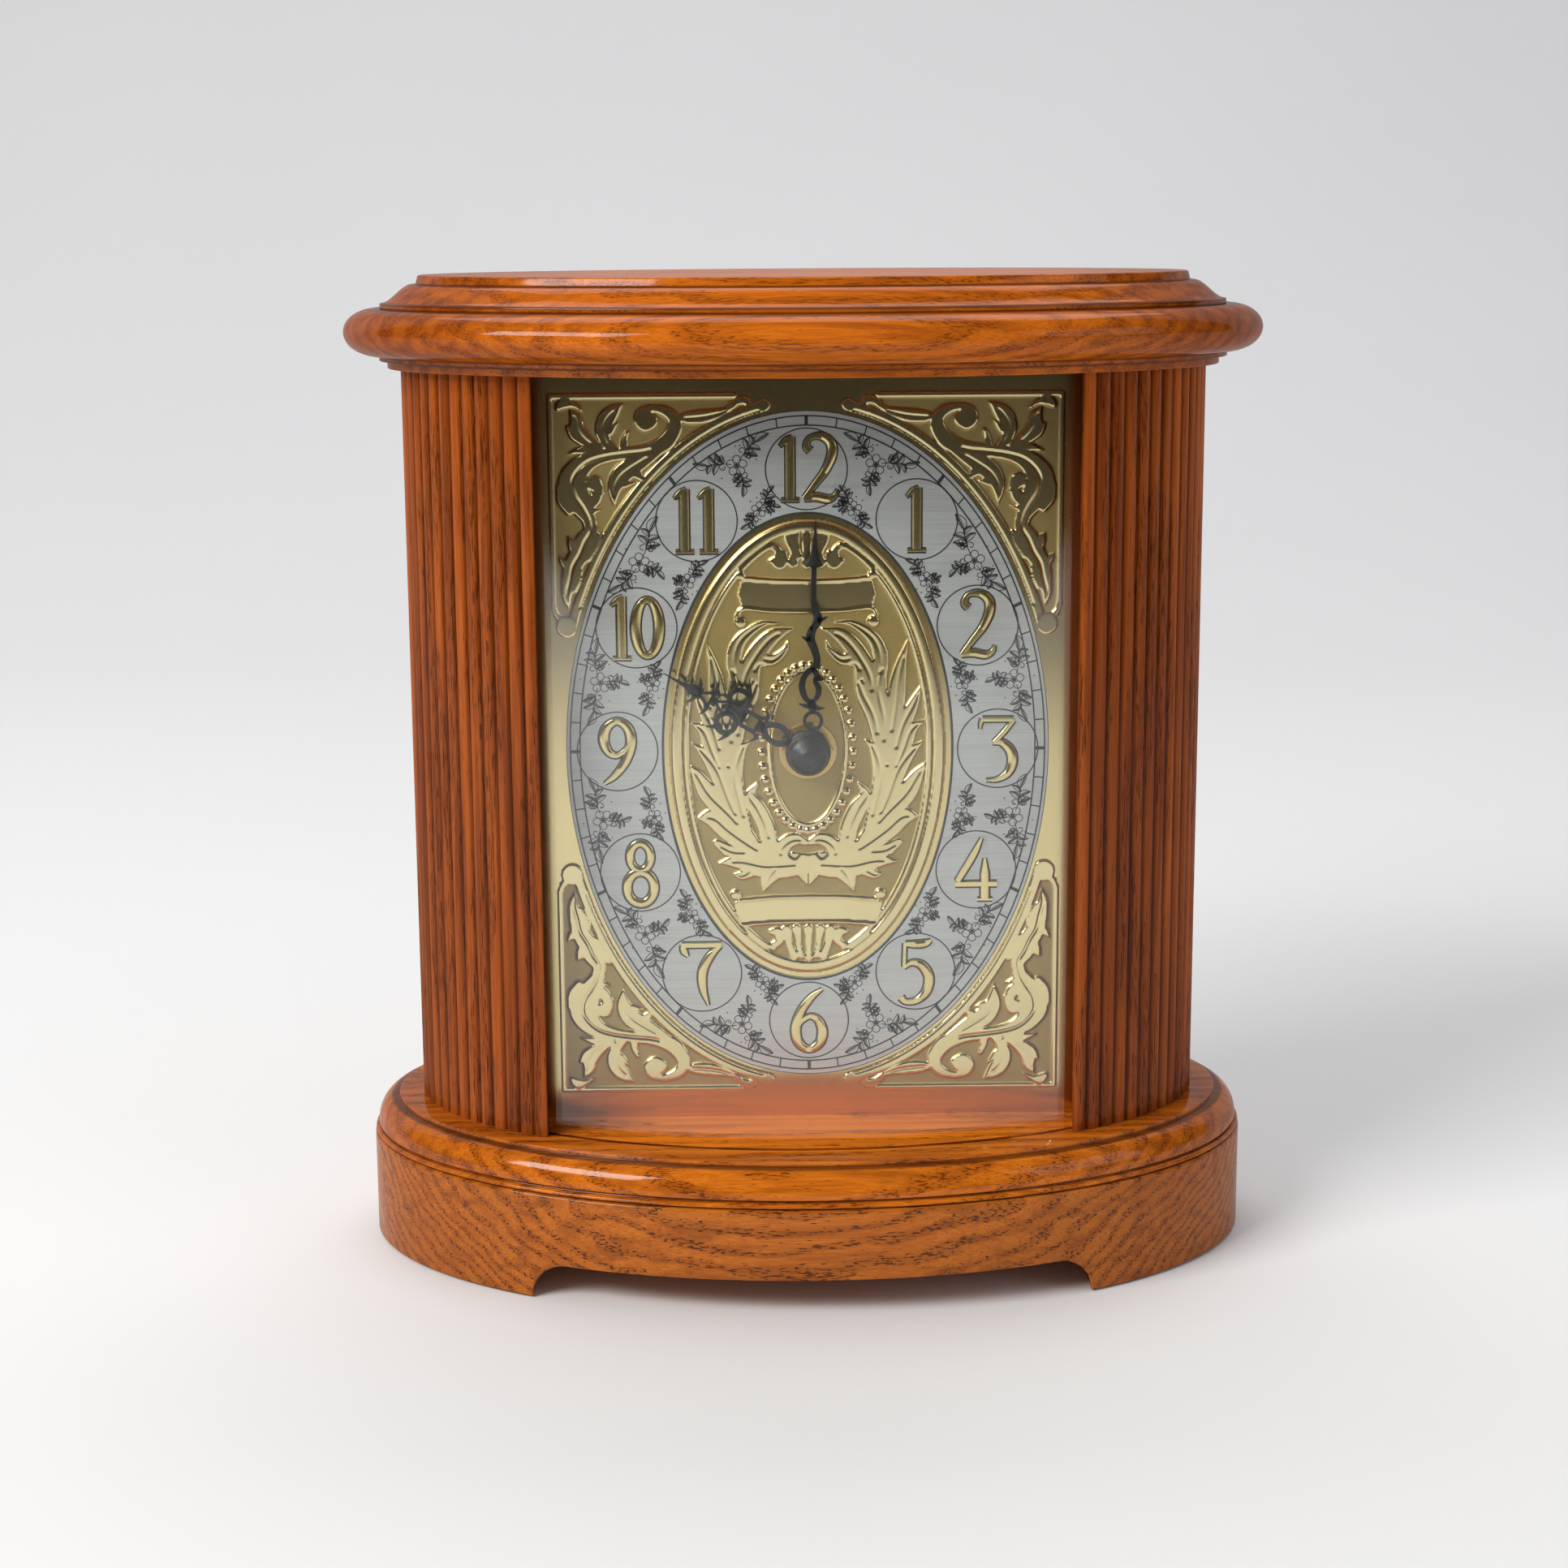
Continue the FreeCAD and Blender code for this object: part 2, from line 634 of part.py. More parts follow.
def hour_hand():
    front, back = HOUR_PLATE
    spine = [(1.8, 0.0), (1.5, 12.0), (1.2, 24.0), (1.6, 27.0), (0.5, 30.0), (0.35, HOUR_LENGTH)]
    loops = [(-2.6, 17.0, 2.8, 1.7), (2.6, 17.0, 2.8, 1.7), (0.0, 22.5, 2.6, 1.5)]
    blank = hand_blank(spine, front, back, 5.6, loops)
    collar = tube(0, HAND_Z, back, back + 1.1, 3.6, HUB_HOUR_R)
    hand = fuse([blank, collar]).cut(rod(0, HAND_Z, front - 1, back + 2, HUB_HOUR_R))
    return turned_hand(hand, HOUR_TURN)


def hand_nut():
    front = MINUTE_PLATE[0]
    outline = [(front, 0.0), (front, 5.0), (front - 0.8, 5.0), (front - 2.2, 4.4),
               (front - 3.3, 3.2), (front - 4.0, 1.6), (front - 4.2, 0.0)]
    return turned(0, HAND_Z, outline).cut(rod(0, HAND_Z, SHAFT_FRONT, front + 1, HUB_MINUTE_R))


# ---------------------------------------------------------------- wheel train
SHAFT_FRONT = -38.6
ARBOR_R = 0.5
PIVOT_FRONT = CASE_FRONT + 0.5
PIVOT_BACK = MID_BACK + 0.3
UP = math.pi / 2

CENTER = (0.0, HAND_Z)
MODULE_CANNON = 0.5
MODULE_HOUR = 0.48
MODULE_TRAIN = 0.3
MODULE_SECOND = 0.25
MODULE_FIFTH = 0.2


def beyond(start, heading, distance):
    return start[0] + distance * math.cos(heading), start[1] + distance * math.sin(heading)


def gap(teeth_1, teeth_2, module):
    return (teeth_1 + teeth_2) * module / 2


HEAD_MINUTE = -UP
HEAD_THIRD = math.radians(150)
HEAD_SECOND = math.radians(100)
HEAD_FIFTH = math.radians(60)
HEAD_ROTOR = 0.0
MINUTE_AXIS = beyond(CENTER, HEAD_MINUTE, gap(12, 36, MODULE_CANNON))
THIRD_AXIS = beyond(CENTER, HEAD_THIRD, gap(64, 8, MODULE_TRAIN))
SECOND_AXIS = beyond(THIRD_AXIS, HEAD_SECOND, gap(60, 8, MODULE_TRAIN))
FIFTH_CLEAR = 0.55        # the fifth wheel stands still, so its pinion is held just out of mesh
FIFTH_AXIS = beyond(SECOND_AXIS, HEAD_FIFTH, gap(60, 10, MODULE_SECOND) + FIFTH_CLEAR)
ROTOR_AXIS = beyond(FIFTH_AXIS, HEAD_ROTOR, gap(50, 10, MODULE_FIFTH))


def center_wheel():
    """Minute shaft with its friction-held wheel and the cannon pinion."""
    x, z = CENTER
    shaft = rod(x, z, SHAFT_FRONT, -13.9, HUB_MINUTE_R)
    pivot = rod(x, z, -13.9, PIVOT_BACK, 1.0)
    cannon = gear(12, MODULE_CANNON, 0.0, x, z, -19.1, -16.7)
    wheel = gear(64, MODULE_TRAIN, 0.0, x, z, -14.9, -13.9)
    return fuse([shaft, pivot, cannon, wheel])


def minute_wheel():
    x, z = MINUTE_AXIS
    phase = meshed_phase(12, 0.0, 36, HEAD_MINUTE)
    arbor = rod(x, z, PIVOT_FRONT, 8.0, 1.0)
    stem = rod(x, z, 8.0, 12.6, 2.0)
    wheel = gear(36, MODULE_CANNON, phase, x, z, -18.7, -17.1)
    pinion = gear(10, MODULE_HOUR, 0.0, x, z, -21.1, -18.7)
    return fuse([arbor, stem, wheel, pinion])


def hour_wheel():
    x, z = CENTER
    phase = meshed_phase(10, 0.0, 40, HEAD_MINUTE + math.pi)
    wheel = gear(40, MODULE_HOUR, phase, x, z, -20.9, -19.6)
    pipe = rod(x, z, HOUR_PLATE[0] - 0.5, -19.6, HUB_HOUR_R)
    return fuse([wheel, pipe]).cut(rod(x, z, -36.0, -19.0, HUB_MINUTE_R + RUN))


def train_wheel(axis, pinion, wheel, arbor_back=PIVOT_BACK):
    """Arbor with a pinion and a wheel; each is (teeth, module, phase, y0, y1)."""
    x, z = axis
    arbor = rod(x, z, PIVOT_FRONT, arbor_back, ARBOR_R)
    gears = [gear(n, module, phase, x, z, y0, y1) for n, module, phase, y0, y1 in (pinion, wheel)]
    return fuse([arbor] + gears)


def third_wheel():
    phase = meshed_phase(64, 0.0, 8, HEAD_THIRD)
    return train_wheel(THIRD_AXIS, (8, MODULE_TRAIN, phase, -15.2, -12.4),
                       (60, MODULE_TRAIN, 0.0, -12.4, -11.4))


def second_wheel():
    phase = meshed_phase(60, 0.0, 8, HEAD_SECOND)
    return train_wheel(SECOND_AXIS, (8, MODULE_TRAIN, phase, -12.7, -10.0),
                       (60, MODULE_SECOND, 0.0, -10.0, -9.1))


def fifth_wheel():
    phase = meshed_phase(60, 0.0, 10, HEAD_FIFTH)
    return train_wheel(FIFTH_AXIS, (10, MODULE_SECOND, phase, -12.0, -8.8),
                       (50, MODULE_FIFTH, 0.0, -12.8, -12.0))


def rotor():
    """Two-pole magnet on its arbor, with a small pinion."""
    x, z = ROTOR_AXIS
    phase = meshed_phase(50, 0.0, 10, HEAD_ROTOR)
    pinion = gear(10, MODULE_FIFTH, phase, x, z, -14.6, -11.6)
    magnet = rod(x, z, -17.0, -14.6, 3.0)
    return fuse([rod(x, z, PIVOT_FRONT, PIVOT_BACK, ARBOR_R), pinion, magnet])


def set_knob():
    x, z = MINUTE_AXIS
    knob = rod(x, z, 12.6, 17.4, 7.6)
    grooves = []
    flutes = 18
    for i in range(flutes):
        angle = 2 * math.pi * i / flutes
        grooves.append(rod(x + 8.0 * math.cos(angle), z + 8.0 * math.sin(angle), 12.0, 18.0, 0.8))
    return cut_all(knob, grooves)


# ---------------------------------------------------------------- motor and case of the movement
STATOR = (-16.4, -15.6)
COIL_Z = 171.0
COIL_HALF = 11.0
COIL_X = 12.0
BUSHING_R = 4.0
BUSHING_FRONT = -32.3
SCREW_XZ = tuple((x, z) for x in (-51.5, 51.5) for z in (CASE_LOW + 4.5, CASE_HIGH - 4.5))


def stator():
    x, z = ROTOR_AXIS
    y0, y1 = STATOR
    left = COIL_X - COIL_HALF - 4
    right = COIL_X + COIL_HALF + 4
    pole = box(left, right, y0, y1, z - 6, z + 5)
    pole = pole.fuse(rod(x, z, y0, y1, 4.8))
    legs = [box(left, left + 3, y0, y1, z, COIL_Z + 2), box(right - 3, right, y0, y1, z, COIL_Z + 2)]
    core = box(left, right, y0, y1, COIL_Z - 2, COIL_Z + 2)
    return fuse([pole] + legs + [core]).cut(rod(x, z, y0 - 1, y1 + 1, 3.5))


def coil():
    """Wound bobbin on the stator's core."""
    y_mid = sum(STATOR) / 2
    flange = 1.0
    x0 = COIL_X - COIL_HALF
    x1 = COIL_X + COIL_HALF
    winding = pin_x(x0, x1, y_mid, COIL_Z, 4.0)
    cheeks = [pin_x(x0, x0 + flange, y_mid, COIL_Z, 5.0), pin_x(x1 - flange, x1, y_mid, COIL_Z, 5.0)]
    return fuse([winding] + cheeks).cut(box(x0 - 1, x1 + 1, STATOR[0], STATOR[1],
                                            COIL_Z - 2, COIL_Z + 2))


def pivot_holes(y0, y1):
    holes = [rod(x, z, y0, y1, ARBOR_R + RUN)
             for x, z in (THIRD_AXIS, SECOND_AXIS, FIFTH_AXIS, ROTOR_AXIS)]
    x, z = MINUTE_AXIS
    return holes + [rod(x, z, y0, y1, 1.0 + RUN)]


def case_screw_shanks(r):
    return [rod(x, z, 0.0, COVER_BACK + 1, r) for x, z in SCREW_XZ]


def movement_front_case():
    y_in = CASE_FRONT + CASE_WALL
    block = box(-CASE_HALF, CASE_HALF, CASE_FRONT, COVER_FRONT, CASE_LOW, CASE_HIGH)
    room = box(-CASE_HALF + CASE_WALL, CASE_HALF - CASE_WALL, y_in, COVER_FRONT + 1,
               CASE_LOW + CASE_WALL, CASE_HIGH - CASE_WALL)
    bosses = [rod(x, z, CASE_FRONT, COVER_FRONT, 3.4) for x, z in SCREW_XZ]
    shell = fuse([block.cut(room)] + bosses)
    bushing_seat = rod(0, HAND_Z, CASE_FRONT - 1, y_in + 1, BUSHING_R)
    return cut_all(shell, pivot_holes(CASE_FRONT + 0.3, y_in + 1) + [bushing_seat]
                   + case_screw_shanks(1.1))


def movement_mid_plate():
    sheet = box(-CASE_HALF + CASE_WALL, CASE_HALF - CASE_WALL, MID_FRONT, MID_BACK,
                CASE_LOW + CASE_WALL, CASE_HIGH - CASE_WALL)
    bosses = []
    for x, z in SCREW_XZ:
        dx = math.copysign(1, x)
        xs = sorted((x - 4 * dx, x + 4 * dx))
        bosses.append(box(xs[0], xs[1], MID_FRONT - 1, MID_BACK + 1, z - 4, z + 4))
    center = rod(0, HAND_Z, MID_FRONT - 1, MID_BACK + 1, 1.0 + RUN)
    return cut_all(sheet, bosses + pivot_holes(MID_FRONT - 1, MID_BACK + 1) + [center])


SELECTOR = (42.0, 104.0)
SELECTOR_TRAVEL = 4.0
NIGHT = (39.5, 88.0)
NIGHT_TRAVEL = 5.0
VOLUME = (-42.0, 96.0)
STEM_X = 1.5
STEM_Z = 1.0
SPEAKER_R = 22.5
TRAY = (-31.5, 31.5, 77.5, 112.0)
TRAY_WALL = 1.2
CELL_R = 7.2
CELL_HALF = 25.2
CELL_Y = 3.2
CELLS_Z = (87.2, 102.3)


def slot(place, back_x, ahead_x):
    x, z = place
    return box(x - STEM_X - back_x - 0.4, x + STEM_X + ahead_x + 0.4, COVER_FRONT - 1, COVER_BACK + 1,
               z - STEM_Z - 0.2, z + STEM_Z + 0.2)


def grille_slots():
    slots = []
    for i in range(-3, 4):
        z = SPEAKER_Z + 5.2 * i
        half = math.sqrt((SPEAKER_R - 4) ** 2 - (5.2 * i) ** 2)
        slots.append(box(SPEAKER_X - half, SPEAKER_X + half, COVER_FRONT - 1, COVER_BACK + 1,
                         z - 1.1, z + 1.1))
    return slots


def movement_rear_cover():
    sheet = box(-CASE_HALF, CASE_HALF, COVER_FRONT, COVER_BACK, CASE_LOW, CASE_HIGH)
    bay = box(TRAY[0] + TRAY_WALL, TRAY[1] - TRAY_WALL, COVER_FRONT - 1, COVER_BACK + 1,
              TRAY[2] + TRAY_WALL, TRAY[3] - TRAY_WALL)
    stem = rod(MINUTE_AXIS[0], MINUTE_AXIS[1], COVER_FRONT - 1, COVER_BACK + 1, 2.0 + RUN)
    volume = rod(VOLUME[0], VOLUME[1], COVER_FRONT - 1, COVER_BACK + 1, 2.0 + RUN)
    slots = [slot(SELECTOR, SELECTOR_TRAVEL, SELECTOR_TRAVEL), slot(NIGHT, 0, NIGHT_TRAVEL)]
    return cut_all(sheet, [bay, stem, volume] + slots + grille_slots() + case_screw_shanks(1.3))


def movement_screws():
    screws = []
    for x, z in SCREW_XZ:
        head = turned(x, z, [(COVER_BACK, 0.0), (COVER_BACK, 2.3), (COVER_BACK + 0.7, 2.2),
                             (COVER_BACK + 1.4, 1.2), (COVER_BACK + 1.5, 0.0)])
        screws.append(fuse([head, rod(x, z, 1.0, COVER_BACK, 1.1)]))
    return screws


def threaded_bushing():
    flange = tube(0, HAND_Z, CASE_FRONT + CASE_WALL, CASE_FRONT + CASE_WALL + 0.6, 6.0,
                  HUB_HOUR_R + RUN)
    pipe = tube(0, HAND_Z, BUSHING_FRONT, CASE_FRONT + CASE_WALL, BUSHING_R, HUB_HOUR_R + RUN)
    return fuse([flange, pipe])


def rubber_washer():
    return tube(0, HAND_Z, PANEL_BACK, CASE_FRONT, 12.0, BUSHING_R)


WASHER_BACK = DIAL_Y - 0.6
WASHER_FRONT = WASHER_BACK - 0.6
NUT_FRONT = WASHER_FRONT - 2.0


def brass_washer():
    return tube(0, HAND_Z, WASHER_FRONT, WASHER_BACK, 7.2, BUSHING_R)


def hex_nut():
    flat = 5.5
    points = []
    for i in range(6):
        angle = math.pi / 3 * i
        points.append((flat / math.cos(math.pi / 6) * math.cos(angle),
                       HAND_Z + flat / math.cos(math.pi / 6) * math.sin(angle)))
    return plate_xz(points, NUT_FRONT, WASHER_FRONT).cut(
        rod(0, HAND_Z, NUT_FRONT - 1, WASHER_FRONT + 1, BUSHING_R))


def circuit_board():
    """Chime and drive board with its chips, quartz can and capacitors."""
    back = MID_BACK + 1.0
    board = box(-50, -3, back, back + 1.2, 126, 170)
    parts = [rod(-30, 152, back + 1.2, back + 3.2, 7.0),
             box(-14, -6, back + 1.2, back + 3.7, 136, 139),
             rod(-44, 135, back + 1.2, back + 9.0, 3.0),
             rod(-36, 135, back + 1.2, back + 8.0, 2.5),
             box(-48, -42, back + 1.2, back + 3.0, 145, 160)]
    posts = [rod(x, z, MID_BACK, back, 1.5) for x, z in ((-47, 129), (-6, 129), (-47, 167), (-6, 167))]
    return fuse([board] + parts + posts)


def speaker_frame():
    """Round basket, open at the back, that holds the cone by its rim."""
    outline = [(1.4, 11.0), (1.4, 6.2), (2.2, 6.2), (2.2, 10.6), (8.4, 19.8), (8.4, 20.0),
               (9.9, 20.0), (9.9, SPEAKER_R), (8.4, SPEAKER_R), (7.6, 20.4)]
    return turned(SPEAKER_X, SPEAKER_Z, outline)


def speaker_cone():
    outline = [(9.4, 20.0), (8.8, 20.0), (8.6, 18.6), (4.2, 6.0), (3.4, 0.0), (4.0, 0.0),
               (4.8, 5.8), (9.2, 18.4), (9.4, 19.0)]
    return turned(SPEAKER_X, SPEAKER_Z, outline)


def speaker_magnet():
    return fuse([rod(SPEAKER_X, SPEAKER_Z, MID_BACK, 1.4, 12.0),
                 rod(SPEAKER_X, SPEAKER_Z, 1.4, 2.4, 5.8)])


def battery_tray():
    x0, x1, z0, z1 = TRAY
    y0 = CELL_Y - CELL_R - TRAY_WALL
    block = box(x0, x1, y0, COVER_FRONT, z0, z1)
    room = box(x0 + TRAY_WALL, x1 - TRAY_WALL, y0 + TRAY_WALL, COVER_FRONT + 1,
               z0 + TRAY_WALL, z1 - TRAY_WALL)
    return block.cut(room)


def batteries():
    """Two AA cells, laid opposite ways; the step at one end is the positive button."""
    cells = []
    for side, z in zip((1, -1), CELLS_Z):
        body = pin_x(-CELL_HALF, CELL_HALF, CELL_Y, z, CELL_R)
        start = CELL_HALF if side > 0 else -CELL_HALF - 1.2
        cells.append(fuse([body, pin_x(start, start + 1.2, CELL_Y, z, 2.6)]))
    return cells


def battery_contacts():
    """Steel strips at both ends of the tray; a bent tongue touches each cell."""
    contacts = []
    wall = TRAY[1] - TRAY_WALL
    for side in (-1, 1):
        xs = sorted((side * wall, side * (wall - 0.4)))
        strip = box(xs[0], xs[1], CELL_Y - 4, CELL_Y + 4, CELLS_Z[0] - 4, CELLS_Z[1] + 4)
        tongues = []
        for z, button in zip(CELLS_Z, (1, -1)):
            reach = CELL_HALF + (1.2 if button == side else 0.0)
            points = [(side * (wall - 0.4), z - 3), (side * reach, z - 0.4), (side * reach, z + 0.4),
                      (side * (wall - 0.4), z + 3)]
            tongues.append(plate_xz(points, CELL_Y - 1.5, CELL_Y + 1.5))
        contacts.append(fuse([strip] + tongues))
    return contacts


def switch_bodies():
    """Housings behind the rear cover: two slide switches and the volume control."""
    y1 = COVER_FRONT - 0.6
    chime = box(SELECTOR[0] - 8, SELECTOR[0] + 8, y1 - 5, y1, SELECTOR[1] - 3.5, SELECTOR[1] + 3.5)
    x_mid = NIGHT[0] + NIGHT_TRAVEL / 2
    night = box(x_mid - 7, x_mid + 7, y1 - 5, y1, NIGHT[1] - 3.5, NIGHT[1] + 3.5)
    pot = rod(VOLUME[0], VOLUME[1], y1 - 6, y1, 7.0)
    feet = [box(x - 1.5, x + 1.5, MID_BACK, y1 - 5, z - 1.5, z + 1.5)
            for x, z in ((SELECTOR[0] - 5, SELECTOR[1]), (SELECTOR[0] + 5, SELECTOR[1]),
                         (x_mid - 5, NIGHT[1]), (x_mid + 5, NIGHT[1]))]
    stand = rod(VOLUME[0], VOLUME[1], MID_BACK, y1 - 6, 3.0)
    return [fuse([chime] + feet[:2]), fuse([night] + feet[2:]), fuse([pot, stand])]


def slider(place):
    """Ridged finger piece with a stem through its slot."""
    x, z = place
    y0 = COVER_BACK + 0.1
    stem = box(x - STEM_X, x + STEM_X, COVER_FRONT - 0.4, y0, z - STEM_Z, z + STEM_Z)
    cap = box(x - 3, x + 3, y0, y0 + 1.2, z - 3.2, z + 3.2)
    ridges = [box(x + i - 0.3, x + i + 0.3, y0 + 1.2, y0 + 2.2, z - 3.2, z + 3.2)
              for i in (-2.0, 0.0, 2.0)]
    return fuse([stem, cap] + ridges)


def volume_dial():
    x, z = VOLUME
    stem = rod(x, z, COVER_FRONT - 0.4, COVER_BACK + 0.3, 2.0)
    knob = rod(x, z, COVER_BACK + 0.3, COVER_BACK + 4.5, 7.0)
    pointer = box(x - 0.5, x + 0.5, COVER_BACK + 4.0, COVER_BACK + 6, z + 1, z + 8)
    flutes = 24
    grooves = [rod(x + 7.3 * math.cos(2 * math.pi * i / flutes),
                   z + 7.3 * math.sin(2 * math.pi * i / flutes), COVER_BACK, COVER_BACK + 5, 0.6)
               for i in range(flutes)]
    return fuse([stem, cut_all(knob, grooves + [pointer])])


# ---------------------------------------------------------------- every piece, by node name
PIECES = {
    "crown_cap": crown_cap,
    "crown_board": crown_board,
    "base_top": base_top,
    "base_plinth": base_plinth,
    "tambour_left": lambda: tambour(-1),
    "tambour_right": lambda: tambour(1),
    "front_glass": front_glass,
    "case_dowels": lambda: LOW_DOWELS + HIGH_DOWELS,
    "plinth_screws": lambda: wood_screws(PLINTH_SCREWS, PLINTH_SCREW_Z, PLINTH_SCREW_LENGTH),
    "crown_screws": lambda: wood_screws(CROWN_SCREWS, CROWN_SCREW_Z, CROWN_SCREW_LENGTH),
    "foot_felts": lambda: [foot_felts(-1), foot_felts(1)],
    "rear_door": rear_door,
    "hinge_case_leaves": lambda: [hinge_leaf(1, z) for z in HINGE_Z],
    "hinge_door_leaves": lambda: [hinge_leaf(-1, z) for z in HINGE_Z],
    "hinge_pins": hinge_pins,
    "hinge_screws_case": lambda: hinge_screws(1),
    "hinge_screws_door": lambda: hinge_screws(-1),
    "door_knob": door_knob,
    "knob_screw": knob_screw,
    "catch_magnet": catch_magnet,
    "catch_strike": catch_strike,
    "dial_cleats": dial_cleats,
    "dial_screws": dial_screws,
    "dial_panel": dial_panel,
    "dial_plate": dial_plate,
    "chapter_ring": chapter_ring,
    "center_medallion": center_medallion,
    "corner_spandrels": corner_spandrels,
    "minute_hand": minute_hand,
    "hour_hand": hour_hand,
    "hand_nut": hand_nut,
    "threaded_bushing": threaded_bushing,
    "rubber_washer": rubber_washer,
    "brass_washer": brass_washer,
    "hex_nut": hex_nut,
    "movement_front_case": movement_front_case,
    "movement_mid_plate": movement_mid_plate,
    "movement_rear_cover": movement_rear_cover,
    "movement_screws": movement_screws,
    "center_wheel": center_wheel,
    "minute_wheel": minute_wheel,
    "hour_wheel": hour_wheel,
    "third_wheel": third_wheel,
    "second_wheel": second_wheel,
    "fifth_wheel": fifth_wheel,
    "rotor": rotor,
    "stator": stator,
    "coil": coil,
    "set_knob": set_knob,
    "circuit_board": circuit_board,
    "speaker_frame": speaker_frame,
    "speaker_cone": speaker_cone,
    "speaker_magnet": speaker_magnet,
    "battery_tray": battery_tray,
    "batteries": batteries,
    "battery_contacts": battery_contacts,
    "switch_bodies": switch_bodies,
    "chime_selector": lambda: slider(SELECTOR),
    "night_switch": lambda: slider(NIGHT),
    "volume_dial": volume_dial,
}

os.makedirs("parts", exist_ok=True)
for name, make in PIECES.items():
    made = make()
    solids = made if isinstance(made, list) else made.Solids
    shape = solids[0] if len(solids) == 1 else Part.makeCompound(solids)
    if not shape.isValid():
        print("NOT VALID", name)
    shape.exportStep("parts/" + name + ".step")
    print(name, len(shape.Solids), len(shape.Faces), round(shape.Volume, 1))
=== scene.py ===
import json
import math
import random

import bmesh
import bpy
import numpy as np
from mathutils import Matrix, Vector


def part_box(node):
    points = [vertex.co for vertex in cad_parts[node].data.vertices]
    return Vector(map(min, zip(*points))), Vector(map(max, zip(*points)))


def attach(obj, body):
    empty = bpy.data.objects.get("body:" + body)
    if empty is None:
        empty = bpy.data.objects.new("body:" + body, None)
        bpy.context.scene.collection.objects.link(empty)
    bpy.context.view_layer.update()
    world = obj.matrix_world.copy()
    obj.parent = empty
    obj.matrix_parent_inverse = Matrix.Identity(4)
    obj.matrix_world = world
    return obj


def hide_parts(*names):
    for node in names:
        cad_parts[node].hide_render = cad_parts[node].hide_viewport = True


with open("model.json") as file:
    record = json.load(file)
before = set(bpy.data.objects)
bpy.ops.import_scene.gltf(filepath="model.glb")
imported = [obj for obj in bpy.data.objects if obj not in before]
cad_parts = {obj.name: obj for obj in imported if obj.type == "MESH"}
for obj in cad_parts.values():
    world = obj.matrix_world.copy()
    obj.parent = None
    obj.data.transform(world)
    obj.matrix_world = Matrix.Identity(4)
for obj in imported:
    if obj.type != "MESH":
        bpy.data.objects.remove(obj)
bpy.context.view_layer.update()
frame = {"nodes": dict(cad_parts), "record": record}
MM = 0.001
rng = random.Random(7)


def top(node, axis):
    """Highest coordinate of a CAD node, in millimetres."""
    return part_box(node)[1][axis] / MM


def low(node, axis):
    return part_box(node)[0][axis] / MM


# ---------------------------------------------------------------- sizes, in millimetres
PLINTH_OFFSET = 13
BODY_A = top("base_plinth", 0) - PLINTH_OFFSET      # the tambours' outer ellipse
BODY_B = top("base_plinth", 1) - PLINTH_OFFSET
PLINTH_LOW = low("base_plinth", 2)
PLINTH_TOP = top("base_plinth", 2)
BASE_TOP = top("base_top", 2)
CROWN_BOTTOM = low("crown_board", 2)
CAP_BOTTOM = low("crown_cap", 2)
HEIGHT = top("crown_cap", 2)
ARCH_HALF = 70
ARCH_CORNER = 9
TAMBOUR_THICK = 7.5
REED_PITCH = 4.5
REED_DEPTH = 1.1
OPENING_HALF = 66
GLASS_OUT = -3
GLASS_THICK = 2.5
GLASS_HALF = top("front_glass", 0)
DIAL_Y = low("dial_plate", 1)                       # front face of the dial plate
RING_Y = low("chapter_ring", 1)
HAND_Z = (low("chapter_ring", 2) + top("chapter_ring", 2)) / 2
RING_OUT = (60, 84.4)
RING_IN = (35.8, 59.1)


